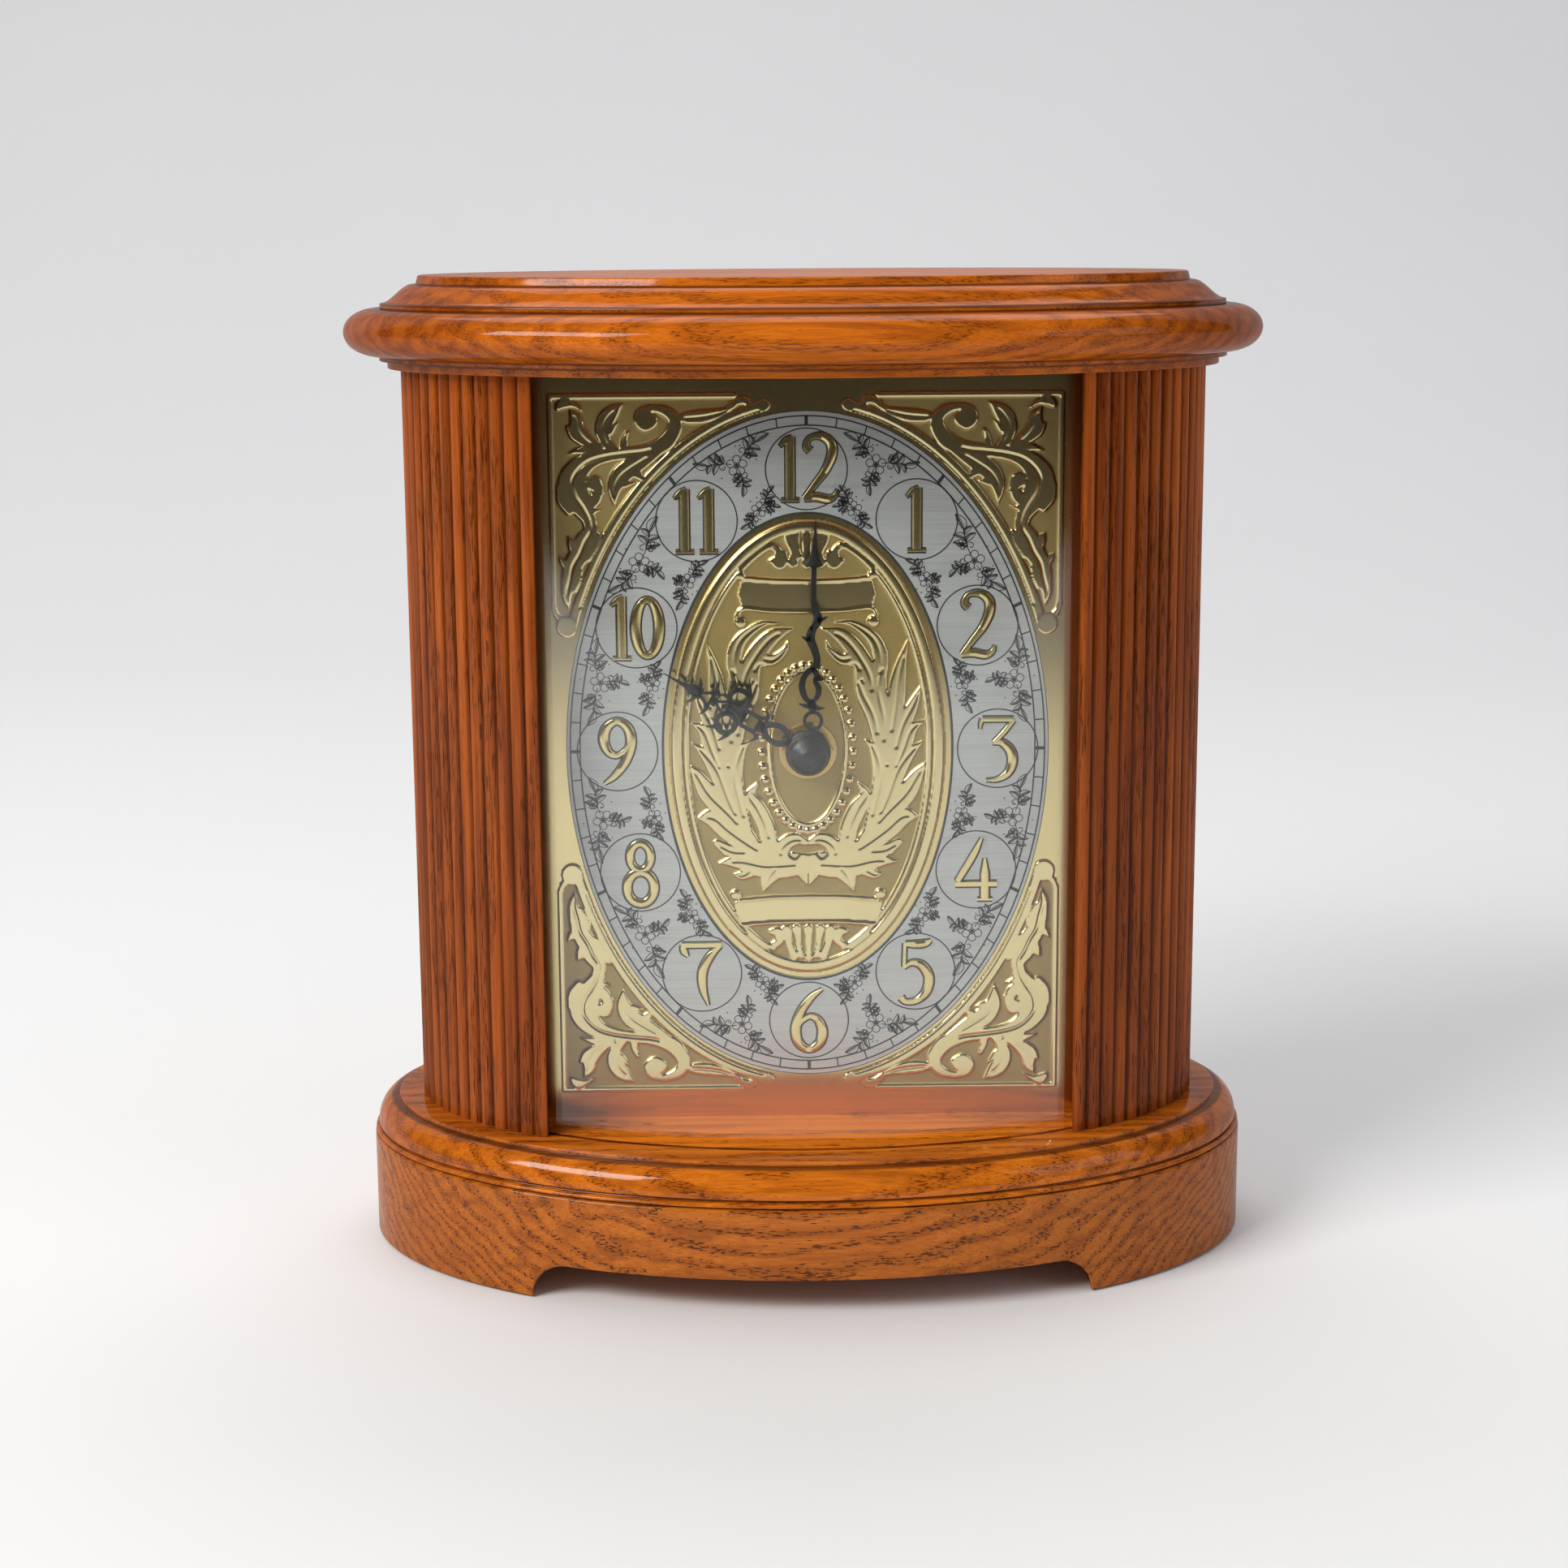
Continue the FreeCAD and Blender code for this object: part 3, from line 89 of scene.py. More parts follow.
# ---------------------------------------------------------------- node materials
class Surface:
    """A Principled material with short calls for its nodes."""

    def __init__(self, name, **sockets):
        self.material = bpy.data.materials.new(name)
        self.material.use_nodes = True
        self.tree = self.material.node_tree
        self.tree.nodes.clear()
        self.output = self.tree.nodes.new("ShaderNodeOutputMaterial")
        self.shader = self.tree.nodes.new("ShaderNodeBsdfPrincipled")
        self.tree.links.new(self.shader.outputs[0], self.output.inputs[0])
        for key, value in sockets.items():
            self.set(key.replace("_", " "), value)

    def plug(self, target, value):
        """Links a node's output to an input, or gives the input a fixed value."""
        if isinstance(value, bpy.types.NodeSocket):
            self.tree.links.new(value, target)
        else:
            target.default_value = (*value, 1) if target.type == "RGBA" else value

    def set(self, socket, value):
        self.plug(self.shader.inputs[socket], value)

    def add(self, kind, inputs, out=0, **props):
        node = self.tree.nodes.new("ShaderNode" + kind)
        for key, value in props.items():
            setattr(node, key, value)
        for key, value in inputs.items():
            self.plug(node.inputs[key], value)
        return node.outputs[out]

    def point(self):
        """The place on the piece, in millimetres."""
        where = self.add("TexCoord", {}, out="Object")
        return self.scaled(where, 1000)

    def scaled(self, where, scale, move=(0, 0, 0)):
        """Scale is three numbers, or one number for all axes."""
        scale = scale if isinstance(scale, tuple) else (scale,) * 3
        return self.add("Mapping", {"Vector": where, "Scale": scale, "Location": move})

    def math(self, operation, a, b=0):
        return self.add("Math", {0: a, 1: b}, operation=operation)

    def times(self, a, b):
        return self.math("MULTIPLY", a, b)

    def axis(self, where, name):
        return self.add("SeparateXYZ", {0: where}, out=name)

    def noise(self, where, scale, detail=3, rough=0.55):
        return self.add("TexNoise", {"Vector": where, "Scale": scale, "Detail": detail, "Roughness": rough},
                        normalize=True)

    def ramp(self, value, low_, high_, to_low=0, to_high=1, smooth=True):
        kind = "SMOOTHSTEP" if smooth else "LINEAR"
        return self.add("MapRange", {"Value": value, "From Min": low_, "From Max": high_,
                                     "To Min": to_low, "To Max": to_high}, interpolation_type=kind)

    def mix(self, factor, a, b):
        return self.add("Mix", {0: factor, 6: a, 7: b}, out=2, data_type="RGBA")

    def bump(self, height, strength, distance_mm):
        self.set("Normal", self.add("Bump", {"Height": height, "Strength": strength,
                                             "Distance": distance_mm * MM}))


def oak(name, along, pith, tones, ring=4.2, seed=0, wander=10, coat=0.4, pore=(2.5, 0.3, 0.85),
        shade_lines=(), ends=0, reeds=False):
    """Stained oak: growth rings about a line through pith, with open pores along the grain.

    along is 0 for grain along X and 2 for grain along Z; pith is the line's place in the other axes.
    pore is (scale across, scale along, strength); creases of the moulding are given as heights, each drawn as
    a thin dark line of painted shade;
    ends is how much darker the wood is painted towards both ends of the oval.
    """
    s = Surface(name, Coat_Weight=coat, Coat_Roughness=0.09, Coat_IOR=1.5, Specular_IOR_Level=0)
    place = s.point()
    pale, middle, dark = tones
    # colour of the open pores, also used for painted shade in creases and between reeds
    pore_and_shade_tone = tuple(0.3 * c for c in dark)

    def stretched(across, lengthwise, move):
        scale = [across] * 3
        scale[along] = lengthwise
        return s.scaled(place, tuple(scale), move)

    # growth rings: early wood is the porous part of each year
    drift = s.noise(stretched(0.035, 0.0045, (seed, seed, seed)), 1, 2)
    ripple = s.noise(stretched(0.16, 0.05, (seed, 0, seed)), 1, 1)
    flat = [1] * 3
    flat[along] = 0
    move = [-value for value in pith]
    move.insert(along, 0)
    radius = s.add("VectorMath", {0: s.scaled(place, tuple(flat), tuple(move))}, out="Value",
                   operation="LENGTH")
    bent = s.math("ADD", s.times(drift, wander * 2), s.times(ripple, 3))
    phase = s.math("FRACT", s.math("DIVIDE", s.math("ADD", radius, bent), ring))
    early = s.times(s.ramp(phase, 0, 0.12), s.ramp(phase, 0.34, 0.62, 1, 0))

    fibre = s.noise(stretched(2.6, 0.05, (seed, 3, 1)), 1, 4, 0.65)
    streak = s.noise(stretched(0.34, 0.012, (2, seed, 4)), 1, 3, 0.55)
    pores = s.noise(stretched(pore[0], pore[1], (7, seed, 2)), 1, 1.5, 0.45)
    limit = s.math("SUBTRACT", 0.68, s.times(early, 0.135))
    open_pore = s.ramp(s.math("SUBTRACT", pores, limit), 0, 0.045)
    cloud = s.noise(s.scaled(place, 0.03, (seed, 0, 5)), 1, 2)

    tone = s.mix(s.ramp(fibre, 0.32, 0.68), middle, pale)
    tone = s.mix(s.ramp(streak, 0.45, 0.68, 0, 0.72 if reeds else 0.5), tone, dark)
    tone = s.mix(s.times(early, 0.3), tone, dark)
    tone = s.mix(s.ramp(cloud, 0.4, 0.7, 0, 0.35), tone, middle)
    # darker towards both ends of the oval, unevenly along the streaks
    if ends:
        side = s.math("ABSOLUTE", s.axis(place, "X"))
        uneven = s.math("ADD", side, s.times(streak, 60))
        tone = s.mix(s.ramp(uneven, 75, 140, 0, ends), tone, dark)
    if reeds:
        # reed gives each slat its own tone; groove is painted shade, darkening each reed towards the gaps
        # beside it
        for label, share, shade in (("reed", 0.45, dark), ("groove", 0.62, pore_and_shade_tone)):
            mark = s.add("Attribute", {}, out="Fac", attribute_name=label)
            tone = s.mix(s.times(mark, share), tone, shade)
    tone = s.mix(s.times(open_pore, pore[2]), tone, pore_and_shade_tone)
    height = s.axis(place, "Z")
    # painted shade: a thin dark line along each crease of the moulding
    for shade_line in shade_lines:
        away = s.math("ABSOLUTE", s.math("SUBTRACT", height, shade_line))
        tone = s.mix(s.ramp(away, 0.1, 0.5, 0.75, 0), tone, pore_and_shade_tone)
    s.set("Base Color", tone)
    s.set("Roughness", s.ramp(fibre, 0.2, 0.8, 0.4, 0.55))
    s.bump(s.math("SUBTRACT", s.times(fibre, 0.25), open_pore), 0.4, 0.12)
    return s.material


def brass(name, tone, rough, ground=None, edge=None, grain=0):
    """Polished brass; ground is (y of the sunk level, y of the raised level) where the sunk level is matt."""
    s = Surface(name, Metallic=1)
    place = s.point()
    wide = s.noise(s.scaled(place, 0.03), 1, 2)
    colour = s.mix(s.ramp(wide, 0.3, 0.7, 0, 0.5), tone, tuple(c * 0.86 for c in tone))
    if ground:
        raised = s.ramp(s.axis(place, "Y"), *ground)
        fine = s.noise(place, 4.5, 2)
        sunk = s.mix(s.ramp(fine, 0.35, 0.65), edge, tuple(c * 0.8 for c in edge))
        colour = s.mix(raised, sunk, colour)
        polish = s.ramp(raised, 0, 1, 0.48, rough, smooth=False)
        s.bump(s.times(fine, s.ramp(raised, 0, 0.4, 1, 0)), 0.5, 0.06)
    else:
        speck = s.noise(place, 1.7, 3)
        polish = s.ramp(speck, 0.3, 0.7, rough * 0.95, rough * 1.05)
    if grain:
        lines = s.noise(s.scaled(place, (0.06, 2, 5)), 1, 3)
        s.bump(lines, grain, 0.02)
    s.set("Base Color", colour)
    s.set("Roughness", polish)
    return s.material


def silvered():
    """Silvered sheet brushed from side to side under a clear lacquer."""
    s = Surface("silvered", Metallic=0.82, Coat_Weight=0.25, Coat_Roughness=0.25)
    place = s.point()
    lines = s.noise(s.scaled(place, (0.05, 1, 6.5)), 1, 4, 0.65)
    wide = s.noise(s.scaled(place, (0.02, 0.02, 0.35)), 1, 2)
    tone = s.mix(s.ramp(lines, 0.3, 0.7), (0.46, 0.465, 0.47), (0.60, 0.605, 0.61))
    s.set("Base Color", s.mix(s.ramp(wide, 0.3, 0.7, 0, 0.3), tone, (0.66, 0.665, 0.67)))
    s.set("Roughness", s.ramp(lines, 0.3, 0.7, 0.40, 0.56))
    s.bump(lines, 0.25, 0.03)
    return s.material


def glass():
    """Clear glass with a faint green tint, open to light so that the dial behind it is lit."""
    s = Surface("glass", Transmission_Weight=1, IOR=1.5, Base_Color=(0.965, 0.985, 0.972))
    smear = s.noise(s.scaled(s.point(), (0.04, 0.04, 0.02)), 1, 3)
    s.set("Roughness", s.ramp(smear, 0.45, 0.9, 0, 0.012))
    shadow = s.add("LightPath", {}, out="Is Shadow Ray")
    clear = s.add("BsdfTransparent", {"Color": (0.95, 0.97, 0.96)})
    both = s.add("MixShader", {0: shadow, 1: s.shader.outputs[0], 2: clear})
    s.tree.links.new(both, s.output.inputs[0])
    return s.material


def plain(name, tone, rough, metallic=0, speck_mm=1.5, spread=0.18, bump=0.15, depth=0.05,
          stretch=(1, 1, 1), **sockets):
    """Fine-grained surface: plastic, rubber, paint, paper or bare metal."""
    s = Surface(name, Metallic=metallic, **sockets)
    place = s.scaled(s.point(), tuple(c / speck_mm for c in stretch))
    fine = s.noise(place, 1, 3)
    broad = s.noise(s.scaled(place, 0.06), 1, 2)
    darker = tuple(c * (1 - spread) for c in tone)
    lighter = tuple(min(1, c * (1 + spread)) for c in tone)
    colour = s.mix(s.ramp(fine, 0.3, 0.7), darker, lighter)
    s.set("Base Color", s.mix(s.ramp(broad, 0.35, 0.7, 0, 0.4), colour, darker))
    s.set("Roughness", s.ramp(fine, 0.3, 0.7, rough * 0.88, min(1, rough * 1.12)))
    s.bump(fine, bump, depth)
    return s.material


def felt():
    s = Surface("felt", Roughness=1, Sheen_Weight=0.6, Sheen_Roughness=0.5)
    place = s.point()
    fibres = s.noise(s.scaled(place, (2.2, 2.2, 0.8)), 1, 5, 0.75)
    s.set("Base Color", s.mix(s.ramp(fibres, 0.3, 0.7), (0.006, 0.03, 0.016), (0.016, 0.065, 0.035)))
    s.bump(fibres, 0.8, 0.3)
    return s.material


def circuit():
    s = Surface("circuit", Roughness=0.4, Coat_Weight=0.4)
    place = s.point()
    cells = s.add("TexVoronoi", {"Vector": s.scaled(place, 0.35), "Scale": 1}, out="Distance",
                  distance="CHEBYCHEV")
    trace = s.ramp(s.math("FRACT", s.times(cells, 5)), 0.42, 0.5)
    s.set("Base Color", s.mix(trace, (0.01, 0.075, 0.03), (0.03, 0.16, 0.07)))
    s.bump(trace, 0.4, 0.05)
    return s.material


def copper():
    s = Surface("copper_wire", Metallic=1)
    place = s.point()
    # bands along the turns: the dark part of each band is painted shade between neighbouring turns
    turns = s.add("TexWave", {"Vector": place, "Scale": 1.6, "Distortion": 0.6, "Detail": 1},
                  out="Fac", bands_direction="X")
    s.set("Base Color", s.mix(turns, (0.35, 0.10, 0.03), (0.86, 0.35, 0.14)))
    s.set("Roughness", s.ramp(turns, 0, 1, 0.5, 0.25))
    s.bump(turns, 0.8, 0.15)
    return s.material


CROWN_TONES = ((0.60, 0.150, 0.009), (0.42, 0.092, 0.006), (0.15, 0.027, 0.004))
PLINTH_TONES = ((0.54, 0.154, 0.016), (0.385, 0.097, 0.010), (0.145, 0.033, 0.006))
BASE_TONES = ((0.66, 0.176, 0.010), (0.45, 0.105, 0.007), (0.16, 0.030, 0.004))
RED_TONES = ((0.42, 0.098, 0.012), (0.27, 0.056, 0.008), (0.10, 0.020, 0.005))
FINE_PORES = (3.4, 0.3, 0.55)
LONG_PORES = (3.6, 0.2, 0.65)
# heights of the moulding creases that get a thin dark line of painted shade
CROWN_SHADE_LINES = (228.9, 230.2, 241.9, 243.1, 247.8)
BASE_SHADE_LINES = (27.7, 29.4, 36.5)
OAK_CROWN = oak("oak_crown", 0, (30, 170), CROWN_TONES, 4.6, 1, coat=0.35, pore=FINE_PORES,
                shade_lines=CROWN_SHADE_LINES, ends=0.7)
OAK_CAP = oak("oak_cap", 0, (-15, 140), CROWN_TONES, 4, 4, coat=0.35, pore=FINE_PORES,
              shade_lines=CROWN_SHADE_LINES, ends=0.7)
OAK_BASE = oak("oak_base", 0, (20, -60), BASE_TONES, 4.4, 9, coat=0.5, pore=(3, 0.36, 0.7),
               shade_lines=BASE_SHADE_LINES, ends=0.4)
OAK_PLINTH = oak("oak_plinth", 0, (52, -72), PLINTH_TONES, 2.9, 14, 8, coat=0.45,
                 pore=(2.6, 0.42, 0.8), ends=0.25)
OAK_TAMBOUR = oak("oak_tambour", 2, (0, 20), RED_TONES, 5, 3, coat=0.24, pore=LONG_PORES,
                  reeds=True)
OAK_DOOR = oak("oak_door", 2, (40, -60), RED_TONES, 5, 6, coat=0.3, pore=LONG_PORES)
BRASS_TONE = (0.80, 0.66, 0.36)
BRASS_MATT = (0.50, 0.37, 0.15)
GROUND_Y = DIAL_Y - 0.32
TOP_Y = DIAL_Y - 0.62
MATERIALS = {
    "oak": OAK_BASE,
    "tambour_oak": OAK_TAMBOUR,
    "door_oak": OAK_DOOR,
    "board": plain("board", (0.22, 0.12, 0.055), 0.8, speck_mm=0.8, stretch=(0.3, 1, 1), spread=0.3,
                   bump=0.5),
    "glass": glass(),
    "dial_brass": brass("dial_brass", (0.78, 0.62, 0.31), 0.16, grain=0.03),
    "cast_brass": brass("cast_brass", BRASS_TONE, 0.16, ground=(GROUND_Y, TOP_Y), edge=BRASS_MATT),
    "silvered": silvered(),
    "black_metal": plain("black_metal", (0.005, 0.005, 0.006), 0.42, speck_mm=0.5, bump=0.1, Coat_Weight=0.1),
    "brass_fittings": brass("brass_fittings", (0.72, 0.50, 0.20), 0.24),
    "steel": plain("steel", (0.55, 0.55, 0.56), 0.32, metallic=1, speck_mm=0.5),
    "magnet": plain("magnet", (0.09, 0.09, 0.095), 0.6, speck_mm=0.4, bump=0.5),
    "black_plastic": plain("black_plastic", (0.022, 0.022, 0.024), 0.48, speck_mm=0.35, bump=0.6),
    "grey_plastic": plain("grey_plastic", (0.30, 0.31, 0.32), 0.5, speck_mm=0.35, bump=0.5, spread=0.08),
    "white_plastic": plain("white_plastic", (0.78, 0.77, 0.73), 0.42, speck_mm=0.5, spread=0.05),
    "rubber": plain("rubber", (0.02, 0.02, 0.02), 0.8, speck_mm=0.6, bump=0.4),
    "felt": felt(),
    "copper_wire": copper(),
    "circuit": circuit(),
    "cone_paper": plain("cone_paper", (0.05, 0.05, 0.052), 0.9, speck_mm=0.5, spread=0.35, bump=0.8),
    "cell_jacket": plain("cell_jacket", (0.05, 0.10, 0.28), 0.28, speck_mm=2, spread=0.08, Coat_Weight=0.5),
}
PRINT_BLACK = plain("print_black", (0.028, 0.028, 0.034), 0.5, speck_mm=0.5, bump=0.1)
NUMERAL_BRASS = brass("numeral_brass", (0.78, 0.64, 0.32), 0.16)


def dress_cad():
    """Every CAD node gets the material of its slot."""
    for part in frame["record"]["subparts"]:
        node = frame["nodes"].get(part["node"])
        if node is not None:
            node.data.materials.clear()
            node.data.materials.append(MATERIALS[part["material_slot"]])


# ---------------------------------------------------------------- meshes
def linked(name, data):
    """Object made from data and put in the scene."""
    obj = bpy.data.objects.new(name, data)
    bpy.context.scene.collection.objects.link(obj)
    return obj


def finish_piece(name, mesh, material, body, slot, sharp, replaces):
    """Shades and links a mesh, attaches it to its body, and hides the CAD nodes it replaces."""
    mesh.polygons.foreach_set("use_smooth", [True] * len(mesh.polygons))
    mesh.set_sharp_from_angle(angle=math.radians(sharp))
    mesh.materials.append(material)
    obj = linked(name, mesh)
    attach(obj, body)
    for node in replaces:
        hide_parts(node)


def mesh_piece(name, verts, faces, material, body="case", slot=None, sharp=35, replaces=()):
    """Makes a mesh from points in millimetres, closed faces turned outwards."""
    mesh = bpy.data.meshes.new(name)
    mesh.from_pydata([tuple(c * MM for c in v) for v in verts], [], faces)
    mesh.validate()
    bm = bmesh.new()
    bm.from_mesh(mesh)
    bmesh.ops.recalc_face_normals(bm, faces=bm.faces)
    bm.to_mesh(mesh)
    bm.free()
    finish_piece(name, mesh, material, body, slot, sharp, replaces)
    return mesh


def wall_faces(columns, rows, closed=True):
    """Quads between neighbouring columns of points; each column has the same number of rows."""
    faces = []
    for i in range(columns if closed else columns - 1):
        a, b = i * rows, (i + 1) % columns * rows
        faces += [(a + k, b + k, b + k + 1, a + k + 1) for k in range(rows - 1)]
    return faces


def prism(outline, levels, side=1):
    """Upright body with the same outline at every level."""
    size = len(outline)
    verts = [(side * x, y, z) for z in levels for x, y in outline]
    faces = []
    for a in range(0, (len(levels) - 1) * size, size):
        faces += [(a + i, a + (i + 1) % size, a + size + (i + 1) % size, a + size + i) for i in range(size)]
    faces += [list(range(size))[::-1], list(range(len(verts) - size, len(verts)))]
    return verts, faces


def grown(semi, by):
    """Semi-axes of an ellipse, each longer by the same length."""
    return semi[0] + by, semi[1] + by


def arc(middle, semi, first=0, last=360, steps=96):
    """Points along an ellipse in a plane; angles in degrees from its first axis."""
    turns = [math.radians(first + (last - first) * i / steps) for i in range(steps + 1)]
    return [(middle[0] + semi[0] * math.cos(a), middle[1] + semi[1] * math.sin(a)) for a in turns]


def even_spots(point, first, last, fine, parts):
    """Parameters that divide a curve into equal lengths; parts(length) says into how many."""
    spots = [first + (last - first) * i / fine for i in range(fine + 1)]
    places = [point(a) for a in spots]
    walk = [0]
    for a, b in zip(places, places[1:]):
        walk.append(walk[-1] + math.dist(a, b))
    count = parts(walk[-1])
    even = []
    at = 0
    for n in range(count + 1):
        while at < fine and walk[at] < walk[-1] * n / count - 1e-9:
            at += 1
        even.append(spots[at])
    return even


def oval_point(angle, offset, z):
    return ((BODY_A + offset) * math.cos(angle), (BODY_B + offset) * math.sin(angle), z)


def softened(profile, radius=0.35, steps=3):
    """Rounds the corners of an open profile of (offset, z) points."""
    out = [profile[0]]
    for before, corner, after in zip(profile, profile[1:], profile[2:]):
        d0 = math.dist(before, corner)
        d1 = math.dist(corner, after)
        turn = math.atan2(after[1] - corner[1], after[0] - corner[0]) - math.atan2(
            corner[1] - before[1], corner[0] - before[0])
        turn = abs((turn + math.pi) % (2 * math.pi) - math.pi)
        if turn < math.radians(30):
            out.append(corner)
            continue
        r0 = min(radius, d0 * 0.45) / d0
        r1 = min(radius, d1 * 0.45) / d1
        a = [c + (b - c) * r0 for b, c in zip(before, corner)]
        b = [c + (n - c) * r1 for n, c in zip(after, corner)]
        for i in range(steps + 1):
            t = i / steps
            out.append(tuple((1 - t) ** 2 * p + 2 * t * (1 - t) * q + t * t * r
                             for p, q, r in zip(a, corner, b)))
    return out + [profile[-1]]


def oval_moulding(name, profile, material, replaces, steps=384):
    """Closed oval body whose side follows a profile of (offset, z) points, from the bottom up."""
    rows = len(profile)
    verts = [oval_point(2 * math.pi * i / steps, offset, z) for i in range(steps) for offset, z in profile]
    faces = wall_faces(steps, rows)
    faces.append([i * rows for i in range(steps)][::-1])
    faces.append([i * rows + rows - 1 for i in range(steps)])
    mesh_piece(name, verts, faces, material, slot="oak", replaces=[replaces])


def wood_mouldings():
    ogee_low, ogee_rise, ogee_run = CAP_BOTTOM + 1.2, 4.7, 8.3
    ogee = [(4.7 - ogee_run * i / 20, ogee_low + ogee_rise * (1 - math.cos(math.pi * i / 20)) / 2)
            for i in range(21)]
    cap = [(4.7, CAP_BOTTOM)] + ogee + [(-4.4, ogee_low + ogee_rise), (-5, HEIGHT), (-9, HEIGHT)]
    oval_moulding("cap_moulding", softened(cap, 0.4), OAK_CAP, "crown_cap")

    nose_low = 230.2
    half = (CAP_BOTTOM - nose_low) / 2
    nose = arc((6, CAP_BOTTOM - half), (8, half), -90, 90, 28)
    crown = [(-4, CROWN_BOTTOM), (3.2, CROWN_BOTTOM), (3.2, 228.9), (5.2, 228.9), (5.2, nose_low)] + nose
    oval_moulding("crown_moulding", softened(crown, 0.3), OAK_CROWN, "crown_board")

    ledge, ovolo_top = 29.7, 36.5
    bead = arc((11.3, PLINTH_TOP + 0.8), (1.5, 0.8), -90, 90, 10)
    ovolo = arc((7, ledge), (5, ovolo_top - ledge), 0, 90, 18)
    base = bead + [(11.3, ledge)] + ovolo + [(6.3, ovolo_top), (6.3, BASE_TOP), (1, BASE_TOP)]
    oval_moulding("base_moulding", softened(base, 0.3), OAK_BASE, "base_top")


def arch_low(x):
    """Height of the plinth's lower face at x: felts' level on the feet, raised in the arch."""
    inside = ARCH_HALF - ARCH_CORNER
    if abs(x) >= ARCH_HALF:
        return PLINTH_LOW
    if abs(x) <= inside:
        return PLINTH_LOW + ARCH_CORNER
    return PLINTH_LOW + math.sqrt(max(0, ARCH_CORNER ** 2 - (abs(x) - inside) ** 2))


def plinth():
    """Oval plinth, open below along an arched channel from front to back."""
    semi = BODY_A + PLINTH_OFFSET
    angles = {round(math.pi * i / 180, 9) for i in range(181)}
    for i in range(13):
        x = ARCH_HALF - ARCH_CORNER + ARCH_CORNER * math.cos(math.pi * i / 24)
        angles |= {round(math.acos(x / semi), 9), round(math.acos(-x / semi), 9)}
    angles = sorted(angles)
    turns = [-a for a in angles] + angles[-2:0:-1]
    edge = 0.5
    upper = arc((PLINTH_OFFSET - 0.8, PLINTH_TOP - 0.8), (0.8, 0.8), 0, 90, 5)
    rows = 4 + len(upper)
    verts = []
    for t in turns:
        low_z = arch_low(semi * math.cos(t))
        profile = [(PLINTH_OFFSET - edge, low_z), (PLINTH_OFFSET - 0.15, low_z + 0.15),
                   (PLINTH_OFFSET, low_z + edge), (PLINTH_OFFSET, (low_z + PLINTH_TOP) / 2)] + upper
        verts += [oval_point(t, offset, z) for offset, z in profile]
    count = len(turns)
    faces = wall_faces(count, rows)
    faces.append([i * rows + rows - 1 for i in range(count)])
    for i in range(len(angles) - 1):
        strip = [i, i + 1, (count - i - 1) % count, (count - i) % count]
        face = list(dict.fromkeys(column * rows for column in strip))
        if len(face) > 2:
            faces.append(face)
    mesh_piece("plinth", verts, faces, OAK_PLINTH, slot="oak", replaces=["base_plinth"])


def normal_point(angle, offset):
    """Point of the tambours' ellipse moved along its normal."""
    nx = math.cos(angle) / BODY_A
    ny = math.sin(angle) / BODY_B
    size = math.hypot(nx, ny)
    return (BODY_A * math.cos(angle) + offset * nx / size, BODY_B * math.sin(angle) + offset * ny / size)


def tambour(side):
    """Reeded panel bent round one end; every reed is its own slat with its own tone, and painted shade
    darkens it towards the gaps.
    """
    end = math.acos(OPENING_HALF / BODY_A)
    steps = 10
    spots = even_spots(lambda a: normal_point(a, 0), -end, end, 4000,
                       lambda length: steps * round(length / REED_PITCH))
    count = len(spots) // steps
    arc_r = ((REED_PITCH / 2) ** 2 + REED_DEPTH ** 2) / (2 * REED_DEPTH)
    outline = []
    tones = []
    groove_shade = []
    for n in range(count):
        shade = rng.random()
        sink = 0.12 * rng.random()
        for k in range(steps + (n == count - 1)):
            across = 2 * k / steps - 1
            offset = math.sqrt(arc_r ** 2 - (across * REED_PITCH / 2) ** 2) - arc_r
            x, y = normal_point(spots[n * steps + k], offset - sink * (1 - across ** 2))
            outline.append((max(x, OPENING_HALF), y))
            tones.append(shade)
            # painted shade: rises from the middle of the reed towards the gaps on either side
            groove_shade.append(max(0, abs(across) - 0.6) / 0.4)
    semi = grown((BODY_A, BODY_B), -TAMBOUR_THICK)
    turn = math.degrees(math.acos(OPENING_HALF / semi[0]))
    inner = arc((0, 0), semi, turn, -turn, 60)
    outline += inner
    tones += [0.5] * len(inner)
    groove_shade += [0] * len(inner)
    levels = (BASE_TOP, BASE_TOP + 0.01, CROWN_BOTTOM - 0.01, CROWN_BOTTOM)
    name = "left" if side < 0 else "right"
    mesh = mesh_piece(f"reeds_{name}", *prism(outline, levels, side), OAK_TAMBOUR, slot="tambour_oak",
                      sharp=50, replaces=[f"tambour_{name}"])
    for label, values in (("reed", tones), ("groove", groove_shade)):
        attribute = mesh.attributes.new(label, "FLOAT", "POINT")
        attribute.data.foreach_set("value", values * len(levels))


def front_glass():
    """Bent pane with ground edges."""
    ground = 0.35

    def skin(inset, shrink):
        semi = grown((BODY_A, BODY_B), GLASS_OUT - inset)
        turn = math.degrees(math.asin((GLASS_HALF - shrink) / semi[0]))
        return arc((0, 0), semi, -90 - turn, -90 + turn)

    front = skin(0, ground)
    rim = skin(ground, 0)
    rim_back = skin(GLASS_THICK - ground, 0)
    back = skin(GLASS_THICK, ground)
    outline = front + [rim[-1], rim_back[-1]] + back[::-1] + [rim_back[0], rim[0]]
    mesh_piece("glass_pane", *prism(outline, (BASE_TOP, CROWN_BOTTOM)), MATERIALS["glass"], slot="glass",
               replaces=["front_glass"])


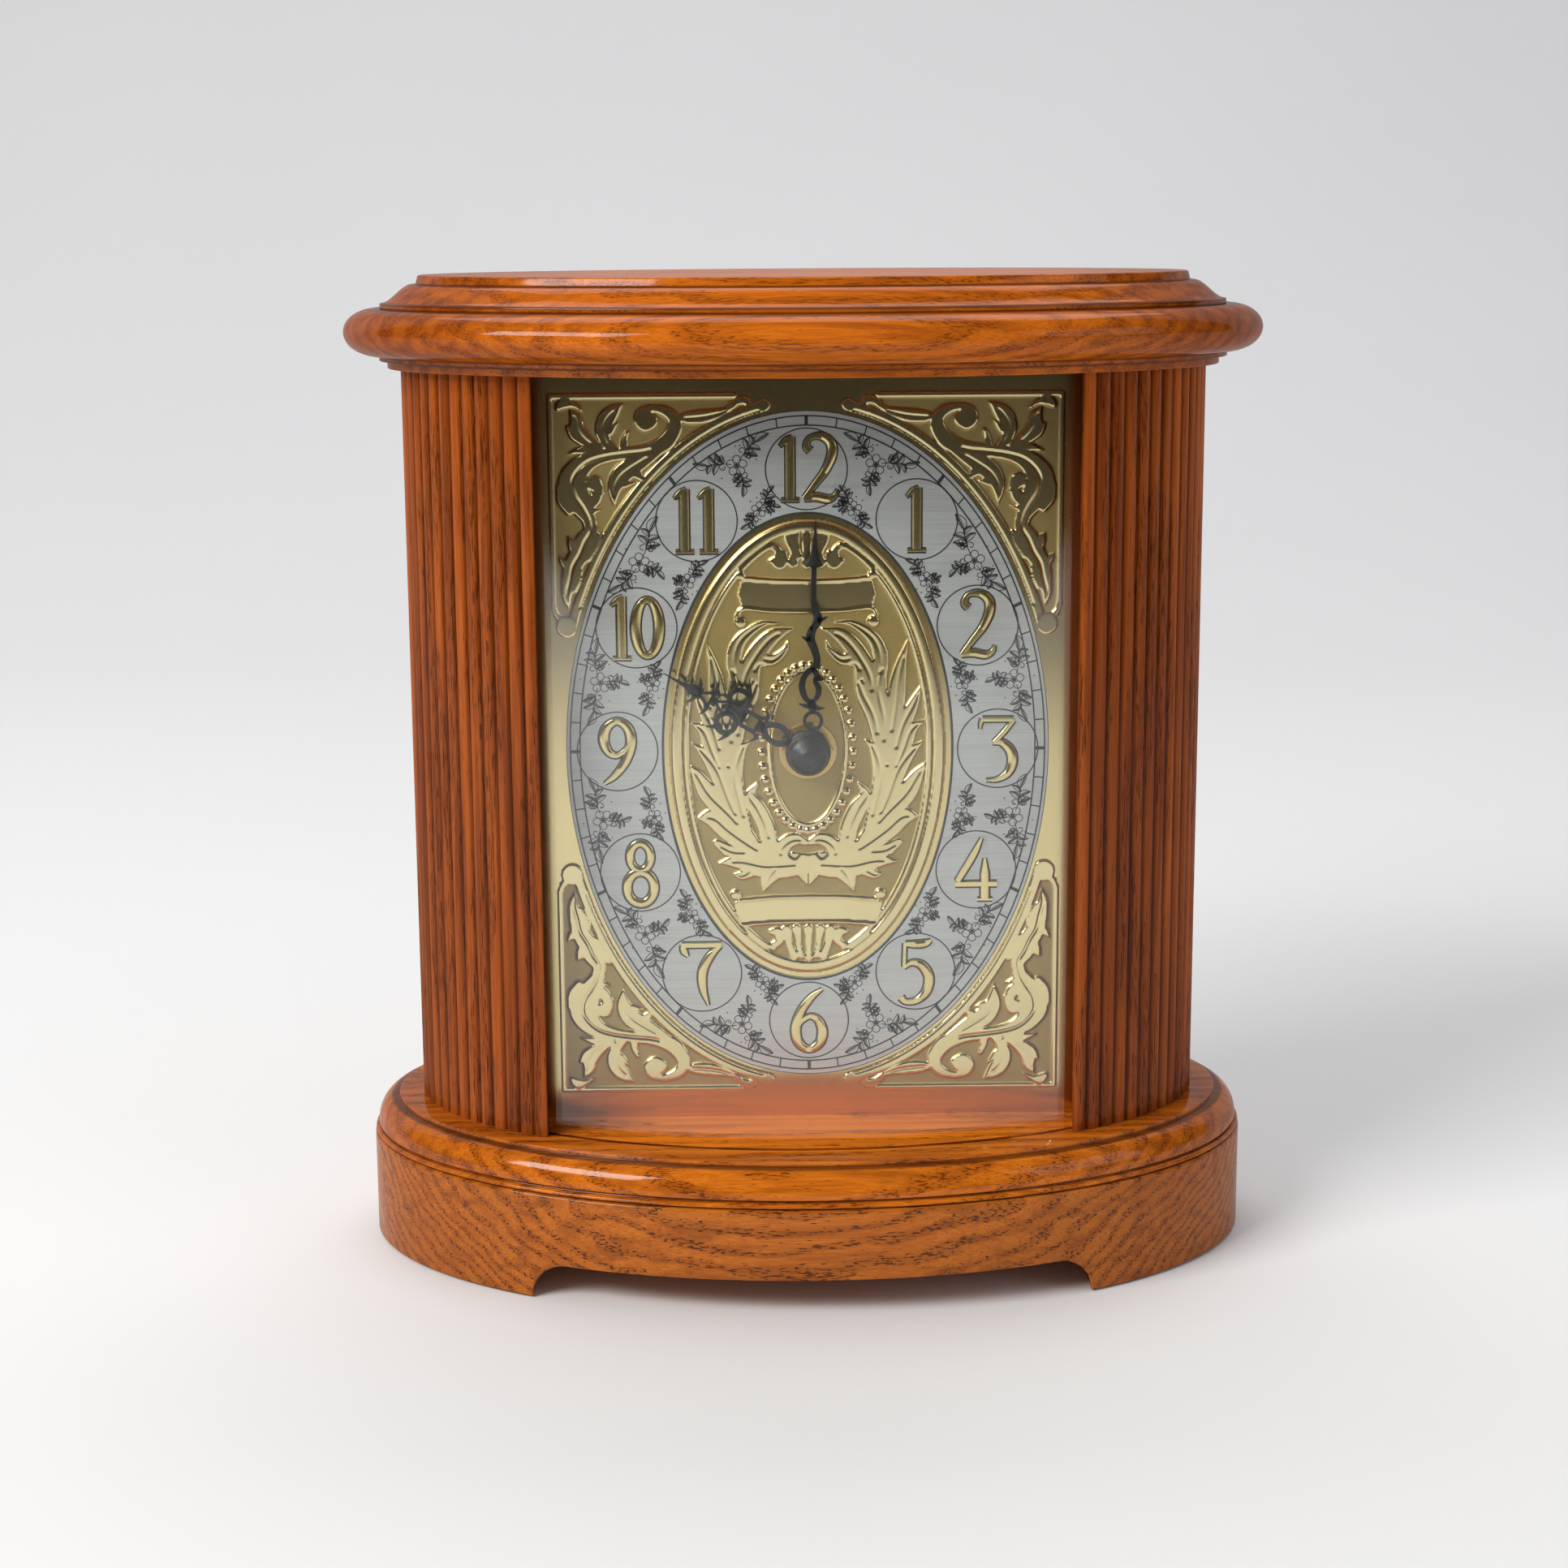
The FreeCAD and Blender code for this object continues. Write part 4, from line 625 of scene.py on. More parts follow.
# ---------------------------------------------------------------- curves in the plane of the dial
def smooth(points, closed=False, steps=6):
    """Catmull-Rom curve through points of any dimension."""
    pts = [np.array(p, float) for p in points]
    count = len(pts)
    spans = count if closed else count - 1
    out = []
    for i in range(spans):
        p1, p2 = pts[i], pts[(i + 1) % count]
        p0 = pts[i - 1] if closed or i else 2 * p1 - p2
        p3 = pts[(i + 2) % count] if closed or i + 2 < count else 2 * p2 - p1
        for k in range(steps):
            t = k / steps
            out.append(0.5 * (2 * p1 + (p2 - p0) * t + (2 * p0 - 5 * p1 + 4 * p2 - p3) * t * t
                              + (3 * p1 - p0 - 3 * p2 + p3) * t ** 3))
    if not closed:
        out.append(pts[-1])
    return np.array(out)


def oval_line(semi, middle, width, first=0, last=360, steps=96):
    """Points (x, z, half-width) along an ellipse."""
    return [spot + (width,) for spot in arc(middle, semi, first, last, steps)]


def loop_line(semi, middle, width, steps):
    """A whole ellipse, to be swept as a closed path."""
    return oval_line(semi, middle, width, steps=steps)[:-1]


def circle_line(x, z, r, width, steps=24):
    return loop_line((r, r), (x, z), width, steps)


# ---------------------------------------------------------------- embossed sheets
GROUND_LEVEL = 0.22
BANNER_LEVEL = 0.72
HUB_RADIUS = 6.5


class Relief:
    """Height field over the dial: strokes are (x, z, half-width) rows, heights are towards the viewer."""

    def __init__(self, x0, x1, z0, z1, step=0.3):
        self.xs = np.arange(x0, x1 + step / 2, step)
        self.zs = np.arange(z0, z1 + step / 2, step)
        self.x, self.z = np.meshgrid(self.xs, self.zs)
        self.height = np.zeros_like(self.x)

    def depth_inside(self, path):
        """How far each grid point lies inside a stroke, in millimetres, and how wide the stroke is there."""
        inside = np.full_like(self.x, -9)
        width = np.ones_like(self.x)
        for (ax, az, aw), (bx, bz, bw) in zip(path, path[1:]):
            reach = max(aw, bw) + 1.2
            cols = slice(*np.searchsorted(self.xs, (min(ax, bx) - reach, max(ax, bx) + reach)))
            rows = slice(*np.searchsorted(self.zs, (min(az, bz) - reach, max(az, bz) + reach)))
            gx, gz = self.x[rows, cols], self.z[rows, cols]
            if gx.size == 0:
                continue
            dx, dz = bx - ax, bz - az
            t = np.clip(((gx - ax) * dx + (gz - az) * dz) / max(dx * dx + dz * dz, 1e-9), 0, 1)
            w = aw + (bw - aw) * t
            here = w - np.hypot(gx - ax - dx * t, gz - az - dz * t)
            better = here > inside[rows, cols]
            inside[rows, cols] = np.where(better, here, inside[rows, cols])
            width[rows, cols] = np.where(better, w, width[rows, cols])
        return inside, width

    def stroke(self, path, level=0.85, edge=0.42, crown=0):
        """Raises a stroke to a level with a soft edge, and crown more along its middle."""
        inside, width = self.depth_inside(path)
        t = np.clip(inside / edge + 0.5, 0, 1)
        shape = level * t * t * (3 - 2 * t)
        if crown:
            shape = shape + crown * np.sqrt(np.clip(inside / np.maximum(width, 0.3), 0, 1))
        self.height = np.maximum(self.height, shape)

    def groove(self, path, width=0.3, depth=0.3):
        away = -self.depth_inside([(p[0], p[1], 0) for p in path])[0]
        self.height -= depth * np.exp(-(away / width) ** 2) * (self.height > 0.4)

    def leaf(self, points, level=0.85):
        path = smooth(points)
        self.stroke(path, level)
        return path

    def veins(self, paths, depth=0.12):
        for path in paths:
            tip = len(path) // 6
            self.groove(path[tip: len(path) - tip], 0.28, depth)

    def oval(self, semi, middle=HAND_Z):
        """Below 1 inside an upright ellipse, above 1 outside it."""
        return (self.x / semi[0]) ** 2 + ((self.z - middle) / semi[1]) ** 2

    def area(self, mask, level):
        self.height = np.where(mask, np.maximum(self.height, level), self.height)

    def mesh(self, turn):
        """Vertices and faces where the sheet stands proud; turn maps (x, z) to the place on the dial."""
        keep = self.height > 0.02
        cells = keep[:-1, :-1] & keep[1:, :-1] & keep[:-1, 1:] & keep[1:, 1:]
        used = np.zeros_like(keep)
        for a, b in ((0, 0), (1, 0), (0, 1), (1, 1)):
            used[a:used.shape[0] - 1 + a, b:used.shape[1] - 1 + b] |= cells
        index = np.cumsum(used.ravel()).reshape(used.shape) - 1
        rows, cols = np.nonzero(used)
        verts = []
        for r, c in zip(rows, cols):
            x, z = turn(self.xs[c], self.zs[r])
            verts.append((x, DIAL_Y - self.height[r, c], z))
        rows, cols = np.nonzero(cells)
        corners = ((0, 0), (0, 1), (1, 1), (1, 0))
        return verts, [tuple(int(index[r + a, c + b]) for a, b in corners) for r, c in zip(rows, cols)]


def sheet_piece(name, parts, replaces):
    """Joins embossed fields, and closes the sheet behind with a flange let into the dial plate."""
    bm = bmesh.new()
    for verts, faces in parts:
        made = [bm.verts.new([c * MM for c in v]) for v in verts]
        for f in faces:
            bm.faces.new([made[i] for i in f])
    bmesh.ops.remove_doubles(bm, verts=bm.verts, dist=2e-6)
    rim = [e for e in bm.edges if e.is_boundary]
    skirt = bmesh.ops.extrude_edge_only(bm, edges=rim)["geom"]
    for item in skirt:
        if isinstance(item, bmesh.types.BMVert):
            item.co.y = (DIAL_Y + 0.15) * MM
    bmesh.ops.holes_fill(bm, edges=[e for e in bm.edges if e.is_boundary], sides=0)
    bmesh.ops.recalc_face_normals(bm, faces=bm.faces)
    mesh = bpy.data.meshes.new(name)
    bm.to_mesh(mesh)
    bm.free()
    finish_piece(name, mesh, MATERIALS["cast_brass"], "case", "cast_brass", 75, [replaces])


def spandrels():
    """Corner ornaments: a border, scrolling leaves and a sunk matt ground; one corner drawn, four made."""
    field = Relief(7, 64.5, 42.5, 106)
    x, z = field.x, field.z
    border = grown(RING_OUT, 2.2)
    ground = (x < 62.6) & (z > 44.8) & (x > 13.5) & (z < 99.5) & (field.oval(grown(RING_OUT, 0.9)) > 1)
    field.area(ground, GROUND_LEVEL)
    field.stroke([(62.4, 97.2, 0.75), (62.4, 44.9, 0.75), (17.5, 44.9, 0.75)], 0.8, 0.45)
    field.stroke(smooth([(62.4, 96.5, 0.75), (61.9, 98.2, 0.8), (60.9, 99.6, 1)]), 0.8, 0.45)
    field.stroke(oval_line(border, (0, HAND_Z), 1.35, -21.6, -80.3, 80), 0.8, 0.45)
    field.stroke([(59.2, 101.6, 2.75), (59.3, 101.5, 2.75)])
    field.leaf([(14.5, 48.8, 1.2), (11.8, 47.9, 1.5), (10.3, 47.3, 1.7)])
    field.leaf([(19.5, 48.6, 0.4), (17.6, 46.9, 0.9), (15.2, 46, 1.1), (13.9, 47.2, 0.8)], 0.8)

    stem = field.leaf([
        (58.6, 97.2, 0.1), (59, 93.5, 1.3), (58.2, 90, 2.1), (57.4, 86.5, 2.4), (55.7, 83.5, 2.6),
        (54.4, 80.5, 2.5), (53, 78, 1.9), (53.3, 75, 1.8), (54.7, 72, 2.7), (56.6, 69, 3.7),
        (57.2, 65.8, 3.5), (55.8, 63, 3), (53, 60.7, 2.3), (49, 59.5, 1.7), (44, 58.8, 1.6),
        (39, 58.2, 1.8), (34.7, 56.5, 2.1), (32.3, 53.5, 1.9), (32.1, 50.8, 1.6), (34, 48.8, 1.3),
        (37.3, 48, 0.9), (40, 48.9, 1.2), (40.6, 51, 1.4), (39.2, 52.2, 1.4), (38, 51.1, 1.8)])
    middle = field.leaf([(46.9, 71.9, 0.1), (47, 69, 1.2), (46.6, 66.5, 2), (45, 64, 2.5),
                         (42.3, 62, 2.4), (39, 60, 1.9), (36.2, 58.3, 1.4)])
    lower = field.leaf([(47, 58.4, 1.2), (49.1, 55.5, 1.5), (49.4, 52.5, 2), (47.8, 49.6, 2),
                        (44.6, 46.9, 0.15)])
    corner = field.leaf([(50.5, 57.6, 1.1), (53.6, 55.6, 1.7), (55.6, 53, 1.9), (56, 50.5, 1.4),
                         (57.4, 48.2, 0.15)])
    right = field.leaf([(31.5, 50.4, 0.4), (28.4, 50.3, 1.5), (24.4, 49.9, 1.6), (20.6, 49, 0.9),
                        (17.2, 47.6, 0.3)])
    barbs = [
        [(57.8, 87.2, 1.5), (59.6, 85.6, 1), (60.9, 84.1, 0.1)],
        [(56.2, 83.4, 1.6), (57.2, 81.2, 1.4), (58.5, 79, 0.1)],
        [(57.4, 92.2, 1), (56.2, 89.6, 1), (55.4, 87.6, 0.6)],
        [(54.2, 84.2, 1.4), (52.2, 81, 1.4), (50.4, 78.4, 0.5)],
        [(58, 72.6, 1.3), (60, 70.4, 1), (60.4, 67, 0.8)],
        [(54.8, 71.5, 1.6), (52, 70.4, 1.6), (50.9, 67.8, 1.3), (51.9, 66, 2)],
        [(53, 72.9, 1.2), (51.4, 72.8, 0.6), (49.8, 72.3, 0.1)],
        [(51.6, 69.6, 1.1), (50.5, 69.1, 0.7), (49.3, 68.5, 0.1)],
        [(44.6, 66.3, 1.2), (43.2, 66.3, 0.6), (41.8, 66, 0.1)],
        [(41.8, 63.3, 1.5), (40.8, 64.4, 1), (39.8, 65.5, 0.1)],
        [(47.9, 53.4, 1.2), (46.8, 52.4, 0.7), (45.7, 51.2, 0.1)],
        [(48.8, 50.6, 1.2), (47.6, 48.4, 0.9), (46.2, 47.2, 0.4)],
        [(51.6, 57.3, 1.1), (54.6, 57.9, 1), (58, 58.8, 0.1)],
        [(54.8, 55.6, 1.2), (56.8, 54.4, 0.9), (58, 52.4, 0.5)],
        [(44.4, 57.8, 1.2), (44.3, 55.6, 0.8), (43.6, 53.8, 0.5)],
        [(54.4, 48.4, 0.1), (56.8, 46.9, 0.8), (58.9, 46.6, 1.3), (60.2, 47.6, 0.8)],
    ]
    for barb in barbs:
        field.leaf(barb)
    field.stroke([(51.9, 66.2, 1.9), (51.8, 66.1, 1.9)])
    field.stroke([(38.4, 51, 2.2), (38.3, 51, 2.2)])
    field.veins([middle, lower, corner, right])
    field.groove(stem[: len(stem) * 16 // 25], 0.28, 0.26)
    field.groove(oval_line(grown(border, -0.75), (0, HAND_Z), 0, -25, -79, 80), 0.22, 0.22)
    field.height[field.oval(grown(RING_OUT, 0.75)) < 1] = 0
    for i, (sx, sz) in enumerate(((-1, 1), (1, 1), (-1, -1), (1, -1))):
        part = field.mesh(lambda px, pz: (sx * px, HAND_Z + sz * (pz - HAND_Z)))
        sheet_piece(f"corner_ornament_{i + 1}", [part], "corner_spandrels")


def medallion():
    """Cast centre: banded rim, shells, plain banners, a ring of beads and a wreath of leaves."""
    semi = grown(RING_IN, -1.2)
    field = Relief(0, 36, HAND_Z - 60, HAND_Z + 60)
    x, z = field.x, field.z
    oval = field.oval(semi)
    field.area(oval < 1, GROUND_LEVEL)
    field.stroke(oval_line(grown(semi, -2), (0, HAND_Z), 1.3, -90, 90, 160), 0.8, 0.45, 0.1)
    field.stroke(oval_line(grown(semi, -4.4), (0, HAND_Z), 0.7, -73, 74, 140), 0.75, 0.45, 0.1)

    scrolls = [
        [(16.5, 178.5, 0.7), (13.2, 182, 0.7), (10, 184.1, 0.9), (7.4, 183.4, 1), (7, 181.2, 1.1),
         (8.6, 180.4, 0.8)],
        [(15.5, 85.4, 0.7), (12.4, 83, 0.7), (9.6, 82.4, 0.9), (7.4, 83.8, 1.1), (7.6, 86, 1.3),
         (9.3, 86.2, 0.8)],
        [(4.6, 187.4, 1), (4.5, 185.2, 0.9), (3.2, 182.2, 0.9), (3.4, 180, 1.4)],
        [(7.4, 179.9, 1.3), (6.4, 180.2, 1.8), (5.6, 182.4, 0.8)],
        [(2.9, 187.2, 1.3), (2.6, 184, 0.9), (1.9, 181.5, 0.9)],
        [(5.6, 86.6, 1.4), (5, 83.6, 1), (4, 80.8, 1.1), (3.6, 79.8, 1.2)],
        [(3, 87, 1.2), (2.6, 84, 0.7), (2.1, 81, 0.8), (1.8, 79.9, 0.9)],
    ]
    for path in scrolls:
        field.leaf(path, 0.8)
    field.leaf([(0, 188.3, 0.8), (0, 185.5, 1.3), (0, 182, 1.1), (0, 179.6, 1.3)])
    field.leaf([(0, 87, 1.2), (0, 84, 0.8), (0, 81, 0.7), (0, 79.4, 1.1)])
    field.stroke(oval_line((5, 2.2), (0, 187), 0.5, 0, 90, 20), 0.7)

    leaves = [
        [(0.5, 104, 2.4), (5, 103.6, 3.4), (11, 103.4, 3.3), (17, 104.6, 2.1), (22.6, 104.2, 0.15)],
        [(7.6, 103.4, 3), (10, 100.4, 2), (11.4, 96.6, 0.15)],
        [(1.8, 103, 2), (1.2, 100.8, 1.2), (0.2, 98.4, 0.2)],
        [(14, 102.6, 2), (16.6, 101, 1.2), (18.6, 101.2, 0.2)],
        [(0.6, 109.4, 0.9), (2.8, 110.2, 1.5), (5.2, 109.4, 1.9), (7, 107.2, 2), (6, 104.6, 2)],
        [(10, 106, 2.2), (14.4, 108.6, 2.3), (19.6, 112.4, 2.8), (23.6, 115.8, 2.4), (27.7, 115.8, 0.15)],
        [(13, 107, 1.4), (19, 107.2, 1.6), (23, 109.4, 0.8), (20.6, 106.2, 0.4)],
        [(14, 110, 1.6), (19.6, 116.6, 2.4), (24.4, 121.6, 2.6), (27.2, 126.2, 1.6), (29.2, 129.4, 0.15)],
        [(15, 110, 1.2), (19.6, 120, 2.1), (22.4, 127.6, 2.3), (25.6, 132.2, 1.4), (28.8, 135, 0.15)],
        [(9.6, 107, 2.2), (10.2, 112.6, 2.2), (12.4, 117.8, 2.2), (14.4, 121.4, 1.4), (12.6, 124.6, 0.3)],
        [(14.6, 110.6, 1.2), (16.8, 119, 1.7), (18.2, 127, 2), (16.6, 133, 1.2), (14.4, 135.4, 0.2)],
        [(20.4, 124, 1.2), (23.8, 133, 2), (25.8, 138, 1.5), (29, 140.2, 0.15)],
        [(20.8, 128, 1.2), (23.4, 138.4, 2.2), (26.4, 144.6, 1.3), (28.2, 149.2, 0.15)],
        [(20, 132, 1.4), (21.8, 143.2, 2.3), (22.8, 152, 1.7), (24.8, 160.4, 0.15)],
        [(18.8, 130, 1.3), (19, 140.4, 2.1), (17.6, 149, 2.1), (19.8, 157.6, 0.2)],
        [(17.8, 133, 1.2), (16.6, 141, 2), (13.8, 147, 1.7), (11.8, 152.8, 0.2)],
        [(15.6, 143, 1.4), (15.8, 150.4, 2.1), (13, 156.4, 2.4), (8.8, 161.4, 2), (3.6, 163.6, 0.3)],
        [(17, 148, 1.4), (18.2, 154.6, 1.9), (16.6, 160.6, 1.7), (11.4, 164.6, 0.9), (7, 165, 0.2)],
        [(12, 156.6, 1.8), (8.6, 155.8, 1.4), (5.6, 158.2, 0.8), (4.8, 160.4, 0.2)],
        [(13.4, 152.4, 1.6), (12, 154.6, 0.9), (9.8, 154.4, 0.2)],
    ]
    paths = [field.leaf(points, 0.78) for points in leaves]
    field.veins(paths, 0.1)
    field.groove(smooth([(2.4, 106.4), (3.4, 105.4), (4.6, 106.4), (4, 107.8)]), 0.28, 0.3)

    upper = (x < 17 - 0.25 * np.abs(z - 172)) & (z < 175.3 + 0.004 * x * x) & (z > 167.8 + 0.0035 * x * x)
    lower = (x < 18.4 - 0.5 * np.maximum(0, 91 - z)) & (z < 95.2 - 0.003 * x * x) & (z > 88.9 - 0.003 * x * x)
    field.height[upper | lower] = BANNER_LEVEL
    for path in ([(0, 175.4, 0.5), (9, 175.7, 0.5), (16.6, 176.4, 0.6)],
                 [(0, 167.8, 0.5), (9, 168, 0.5), (15.6, 168.6, 0.6), (17.2, 166.8, 0.6)],
                 [(0, 95.3, 0.5), (9, 95.1, 0.5), (17.2, 94.4, 0.6)],
                 [(0, 88.8, 0.5), (9, 88.6, 0.5), (16.4, 88, 0.6)]):
        field.stroke(smooth(path), 0.9, 0.4, 0.05)
    for u, v, r in ((16.4, 165.3, 1.5), (16.3, 177, 1.2), (18.2, 95.9, 1.4)):
        field.stroke([(u, v, r), (u + 0.01, v, r)], 0.9, 0.5, 0.15)

    middle = HAND_Z + 0.2
    field.height[field.oval((11.9, 21.6), middle) < 1] = GROUND_LEVEL
    field.stroke(oval_line((9.5, 19.4), (0, middle), 0.55, -90, 90, 90), 0.7, 0.45)
    beads = 37
    for i in range(beads):
        a = -math.pi / 2 + 2 * math.pi * i / beads
        u, v = 11.4 * math.cos(a), middle + 21 * math.sin(a)
        if u > -1.3:
            ball = 1.2 ** 2 - (x - abs(u)) ** 2 - (z - v) ** 2
            field.height = np.maximum(field.height, 0.2 + 0.72 * np.sqrt(np.clip(ball, 0, None)))
    rim = np.clip((1 - oval) * semi[0] / 2 / 0.5, 0, 1)
    field.height = np.minimum(field.height * (rim > 0), 1.18)
    field.height[np.hypot(x, z - HAND_Z) < HUB_RADIUS] = GROUND_LEVEL
    halves = [field.mesh(lambda px, pz, s=side: (s * px, pz)) for side in (-1, 1)]
    sheet_piece("center_ornament", halves, "center_medallion")


# ---------------------------------------------------------------- raised and printed strokes
FLAT_TOP = ((-1, 0), (-0.9, 0.6), (-0.68, 0.97), (0, 1), (0.68, 0.97), (0.9, 0.6), (1, 0))
PRINTED = ((-1, 0), (-0.8, 1), (0.8, 1), (1, 0))
PLATE = ((-1, 0), (-1, 0.75), (-0.85, 1), (0.85, 1), (1, 0.75), (1, 0))


class Strokes:
    """Many small swept bodies that lie on a plane across Y, collected into one mesh."""

    def __init__(self, base_y, height, section):
        self.base_y = base_y
        self.height = height
        self.section = section
        self.verts = []
        self.faces = []

    def sweep(self, path, place=None, closed=False, widen=0):
        place = place or (lambda x, z: (x, z))
        count = len(path)
        size = len(self.section)
        start = len(self.verts)
        for i in range(count):
            before = path[i - 1] if closed or i else path[0]
            after = path[(i + 1) % count] if closed or i < count - 1 else path[-1]
            dx, dz = after[0] - before[0], after[1] - before[1]
            span = math.hypot(dx, dz) or 1
            nx, nz = dz / span, -dx / span
            half = path[i][2] + widen
            for u, v in self.section:
                x, z = place(path[i][0] + nx * half * u, path[i][1] + nz * half * u)
                self.verts.append((x, self.base_y - v * self.height, z))
        loops = count if closed else count - 1
        for i in range(loops):
            a, b = start + i * size, start + (i + 1) % count * size
            for k in range(size):
                m = (k + 1) % size
                self.faces.append((a + k, b + k, b + m, a + m))
        if not closed:
            self.faces.append([start + k for k in range(size)])
            self.faces.append([start + (count - 1) * size + k for k in range(size)][::-1])

    def dot(self, x, z, r, place=None):
        self.sweep(circle_line(x, z, r / 2, r / 2, 10), place, closed=True)

    def piece(self, name, material, **declared):
        mesh_piece(name, self.verts, self.faces, material, sharp=40, **declared)


DIGITS = {
    "1": [[(0, 7.9, 1.15), (0, -7.6, 1.15)],
          smooth([(0.6, 7.9, 0.5), (-1, 6.9, 0.75), (-2.6, 5.5, 0.25)]),
          [(-2.3, -7.6, 0.45), (2.3, -7.6, 0.45)]],
    "2": [smooth([(-2.3, 4.4, 0.9), (-3.3, 5.6, 0.8), (-2.4, 7.6, 0.6), (0.4, 8, 0.9), (2.7, 6.3, 1.15),
                  (2.9, 3.4, 1.15), (1.3, -0.4, 0.95), (-1.4, -4, 0.75), (-3.7, -7.2, 0.7)]),
          smooth([(-4, -7.3, 0.7), (-1, -6.9, 1), (2, -7.4, 0.95), (3.7, -6.5, 0.6), (4.3, -4.9, 0.25)])],
    "3": [[(-3.8, 7.4, 0.7), (3.9, 7.4, 0.7)],
          smooth([(-3.9, 7.6, 0.5), (-4.3, 6.2, 0.4), (-4.4, 4.9, 0.2)]),
          smooth([(3.9, 7.2, 0.6), (1.6, 4.2, 0.6), (-0.9, 1.5, 0.6)]),
          smooth([(-1.4, 1.3, 0.3), (1, 1.5, 0.9), (3.2, -0.6, 1.2), (3.7, -3.6, 1.2), (2.5, -6.4, 0.95),
                  (0, -7.9, 0.6), (-2.8, -8.1, 0.3)])],
    "4": [smooth([(1.4, 8.2, 0.3), (-0.6, 3.8, 0.8), (-4.6, -3, 0.75)]),
          [(-5.2, -3.7, 0.8), (5.3, -3.7, 0.8)],
          [(2.2, 3, 0.3), (2.3, -1, 1.1), (2.3, -7.8, 1.15)],
          [(0.4, -7.7, 0.4), (4.2, -7.7, 0.4)]],
    "5": [smooth([(-2.6, 7.2, 0.7), (0.6, 7.1, 1), (2.6, 7.4, 0.9), (4, 8.2, 0.3)]),
          [(-2.7, 7.4, 0.5), (-2.9, 1.2, 0.5)],
          smooth([(-3, 1, 0.4), (-0.8, 2.3, 0.75), (1.8, 1.4, 1.15), (3.4, -1.6, 1.25), (2.8, -5.2, 1.15),
                  (0.4, -7.6, 0.85), (-2.4, -8, 0.7), (-3.7, -6.8, 0.9)])],
    "6": [smooth([(3.4, 8.2, 0.3), (0.6, 6, 0.8), (-2.1, 2.2, 1.1), (-3.4, -2.4, 1.25), (-2.6, -6, 1.15),
                  (0, -7.7, 0.9), (2.6, -6.1, 1.15), (3.4, -3, 1.25), (2.3, 0, 1), (0.2, 1, 0.7),
                  (-2, -0.4, 0.6), (-3.2, -2.4, 0.5)])],
    "7": [[(-5, 7.4, 0.75), (5, 7.4, 0.75)],
          smooth([(-4.8, 7.6, 0.6), (-4.4, 5.8, 0.9), (-3.4, 4.4, 0.2)]),
          smooth([(4.7, 7.2, 0.5), (2.2, 4.6, 1), (0.2, 0.6, 1.15), (0.2, -4, 0.95), (1.6, -8.5, 0.2)])],
    "0": [[(2.9 * math.sin(a), 7 * math.cos(a), 1.25 - 0.45 * abs(math.cos(a)) ** 3)
           for a in (2 * math.pi * i / 48 for i in range(48))]],
}
DIGITS["8"] = [loop_line((3.4, 4.1), (0, -3.9), 1.15, 36), loop_line((2.6, 3.5), (0, 4.1), 1, 36)]
DIGITS["9"] = [path * np.array((-1, -1, 1)) for path in DIGITS["6"]]
CLOSED_DIGITS = ("0", "8")
NUMERALS = ["12", "1", "2", "3", "4", "5", "6", "7", "8", "9", "10", "11"]
PAIR_OFFSETS = {"12": (-4, 3.3), "10": (-3.7, 2.7), "11": (-2.9, 3)}
NUMERAL_PLACES = ((0, 70.1), (27, 57.5), (42.1, 31.1), (47.3, 0))


def numeral_centre(hour):
    """Place of an hour's circle, worked out by mirroring the first quarter."""
    step = hour % 3 if hour // 3 in (0, 2) else 3 - hour % 3
    u, v = NUMERAL_PLACES[step]
    return (u if hour < 6 else -u), HAND_Z + (v if hour < 3 or hour > 9 else -v)


def numerals():
    raised = Strokes(RING_Y, 0.5, FLAT_TOP)
    outline = Strokes(RING_Y + 0.02, 0.1, PRINTED)
    for hour, text in enumerate(NUMERALS):
        cx, cz = numeral_centre(hour)
        for k, digit in enumerate(text):
            shift = PAIR_OFFSETS[text][k] if len(text) > 1 else 0
            for path in DIGITS[digit]:
                place = (lambda x, z: (cx + shift + x, cz + z))
                ring = digit in CLOSED_DIGITS
                raised.sweep(path, place, closed=ring)
                outline.sweep(path, place, closed=ring, widen=0.38)
    raised.piece("numerals", NUMERAL_BRASS, slot="dial_brass")
    outline.piece("numeral_outlines", PRINT_BLACK)


def leaf_print(ink, base, heading, length, bend, place):
    """Drawn leaf: two bowed outlines and a vein, one half filled in."""
    def at(t, side):
        a = heading + bend * (t - 0.5)
        width = side * 0.23 * length * math.sin(math.pi * min(1, t * 1.02)) ** 0.9
        x = base[0] + length * t * math.cos(a) - width * math.sin(a)
        z = base[1] + length * t * math.sin(a) + width * math.cos(a)
        return x, z

    steps = 7
    for side, width in ((1, 0.12), (-1, 0.12), (0, 0.09)):
        ink.sweep([at(i / steps, side) + (width,) for i in range(steps + 1)], place)
    ink.sweep([at(i / steps, 0.5) + (0.05 * length * math.sin(math.pi * i / steps) + 0.03,)
               for i in range(steps + 1)], place)


def beyond(base, heading, distance):
    return base[0] + distance * math.cos(heading), base[1] + distance * math.sin(heading)


def curl_print(ink, base, heading, size, hand, place):
    middle = beyond(base, heading, size)
    rows = []
    for i in range(13):
        a = heading + hand * (1.4 * i / 12 - 0.5) * math.pi
        rows.append(beyond(middle, a, size * (1 - 0.62 * i / 12)) + (0.12,))
    ink.sweep(rows, place)


def flower_print(ink, centre, size, turn, place):
    for k in range(5):
        petal = beyond(centre, turn + 2 * math.pi * k / 5, size)
        ink.sweep(circle_line(*petal, 0.62 * size, 0.12, 9), place, closed=True)
    ink.dot(*centre, 0.36 * size, place)


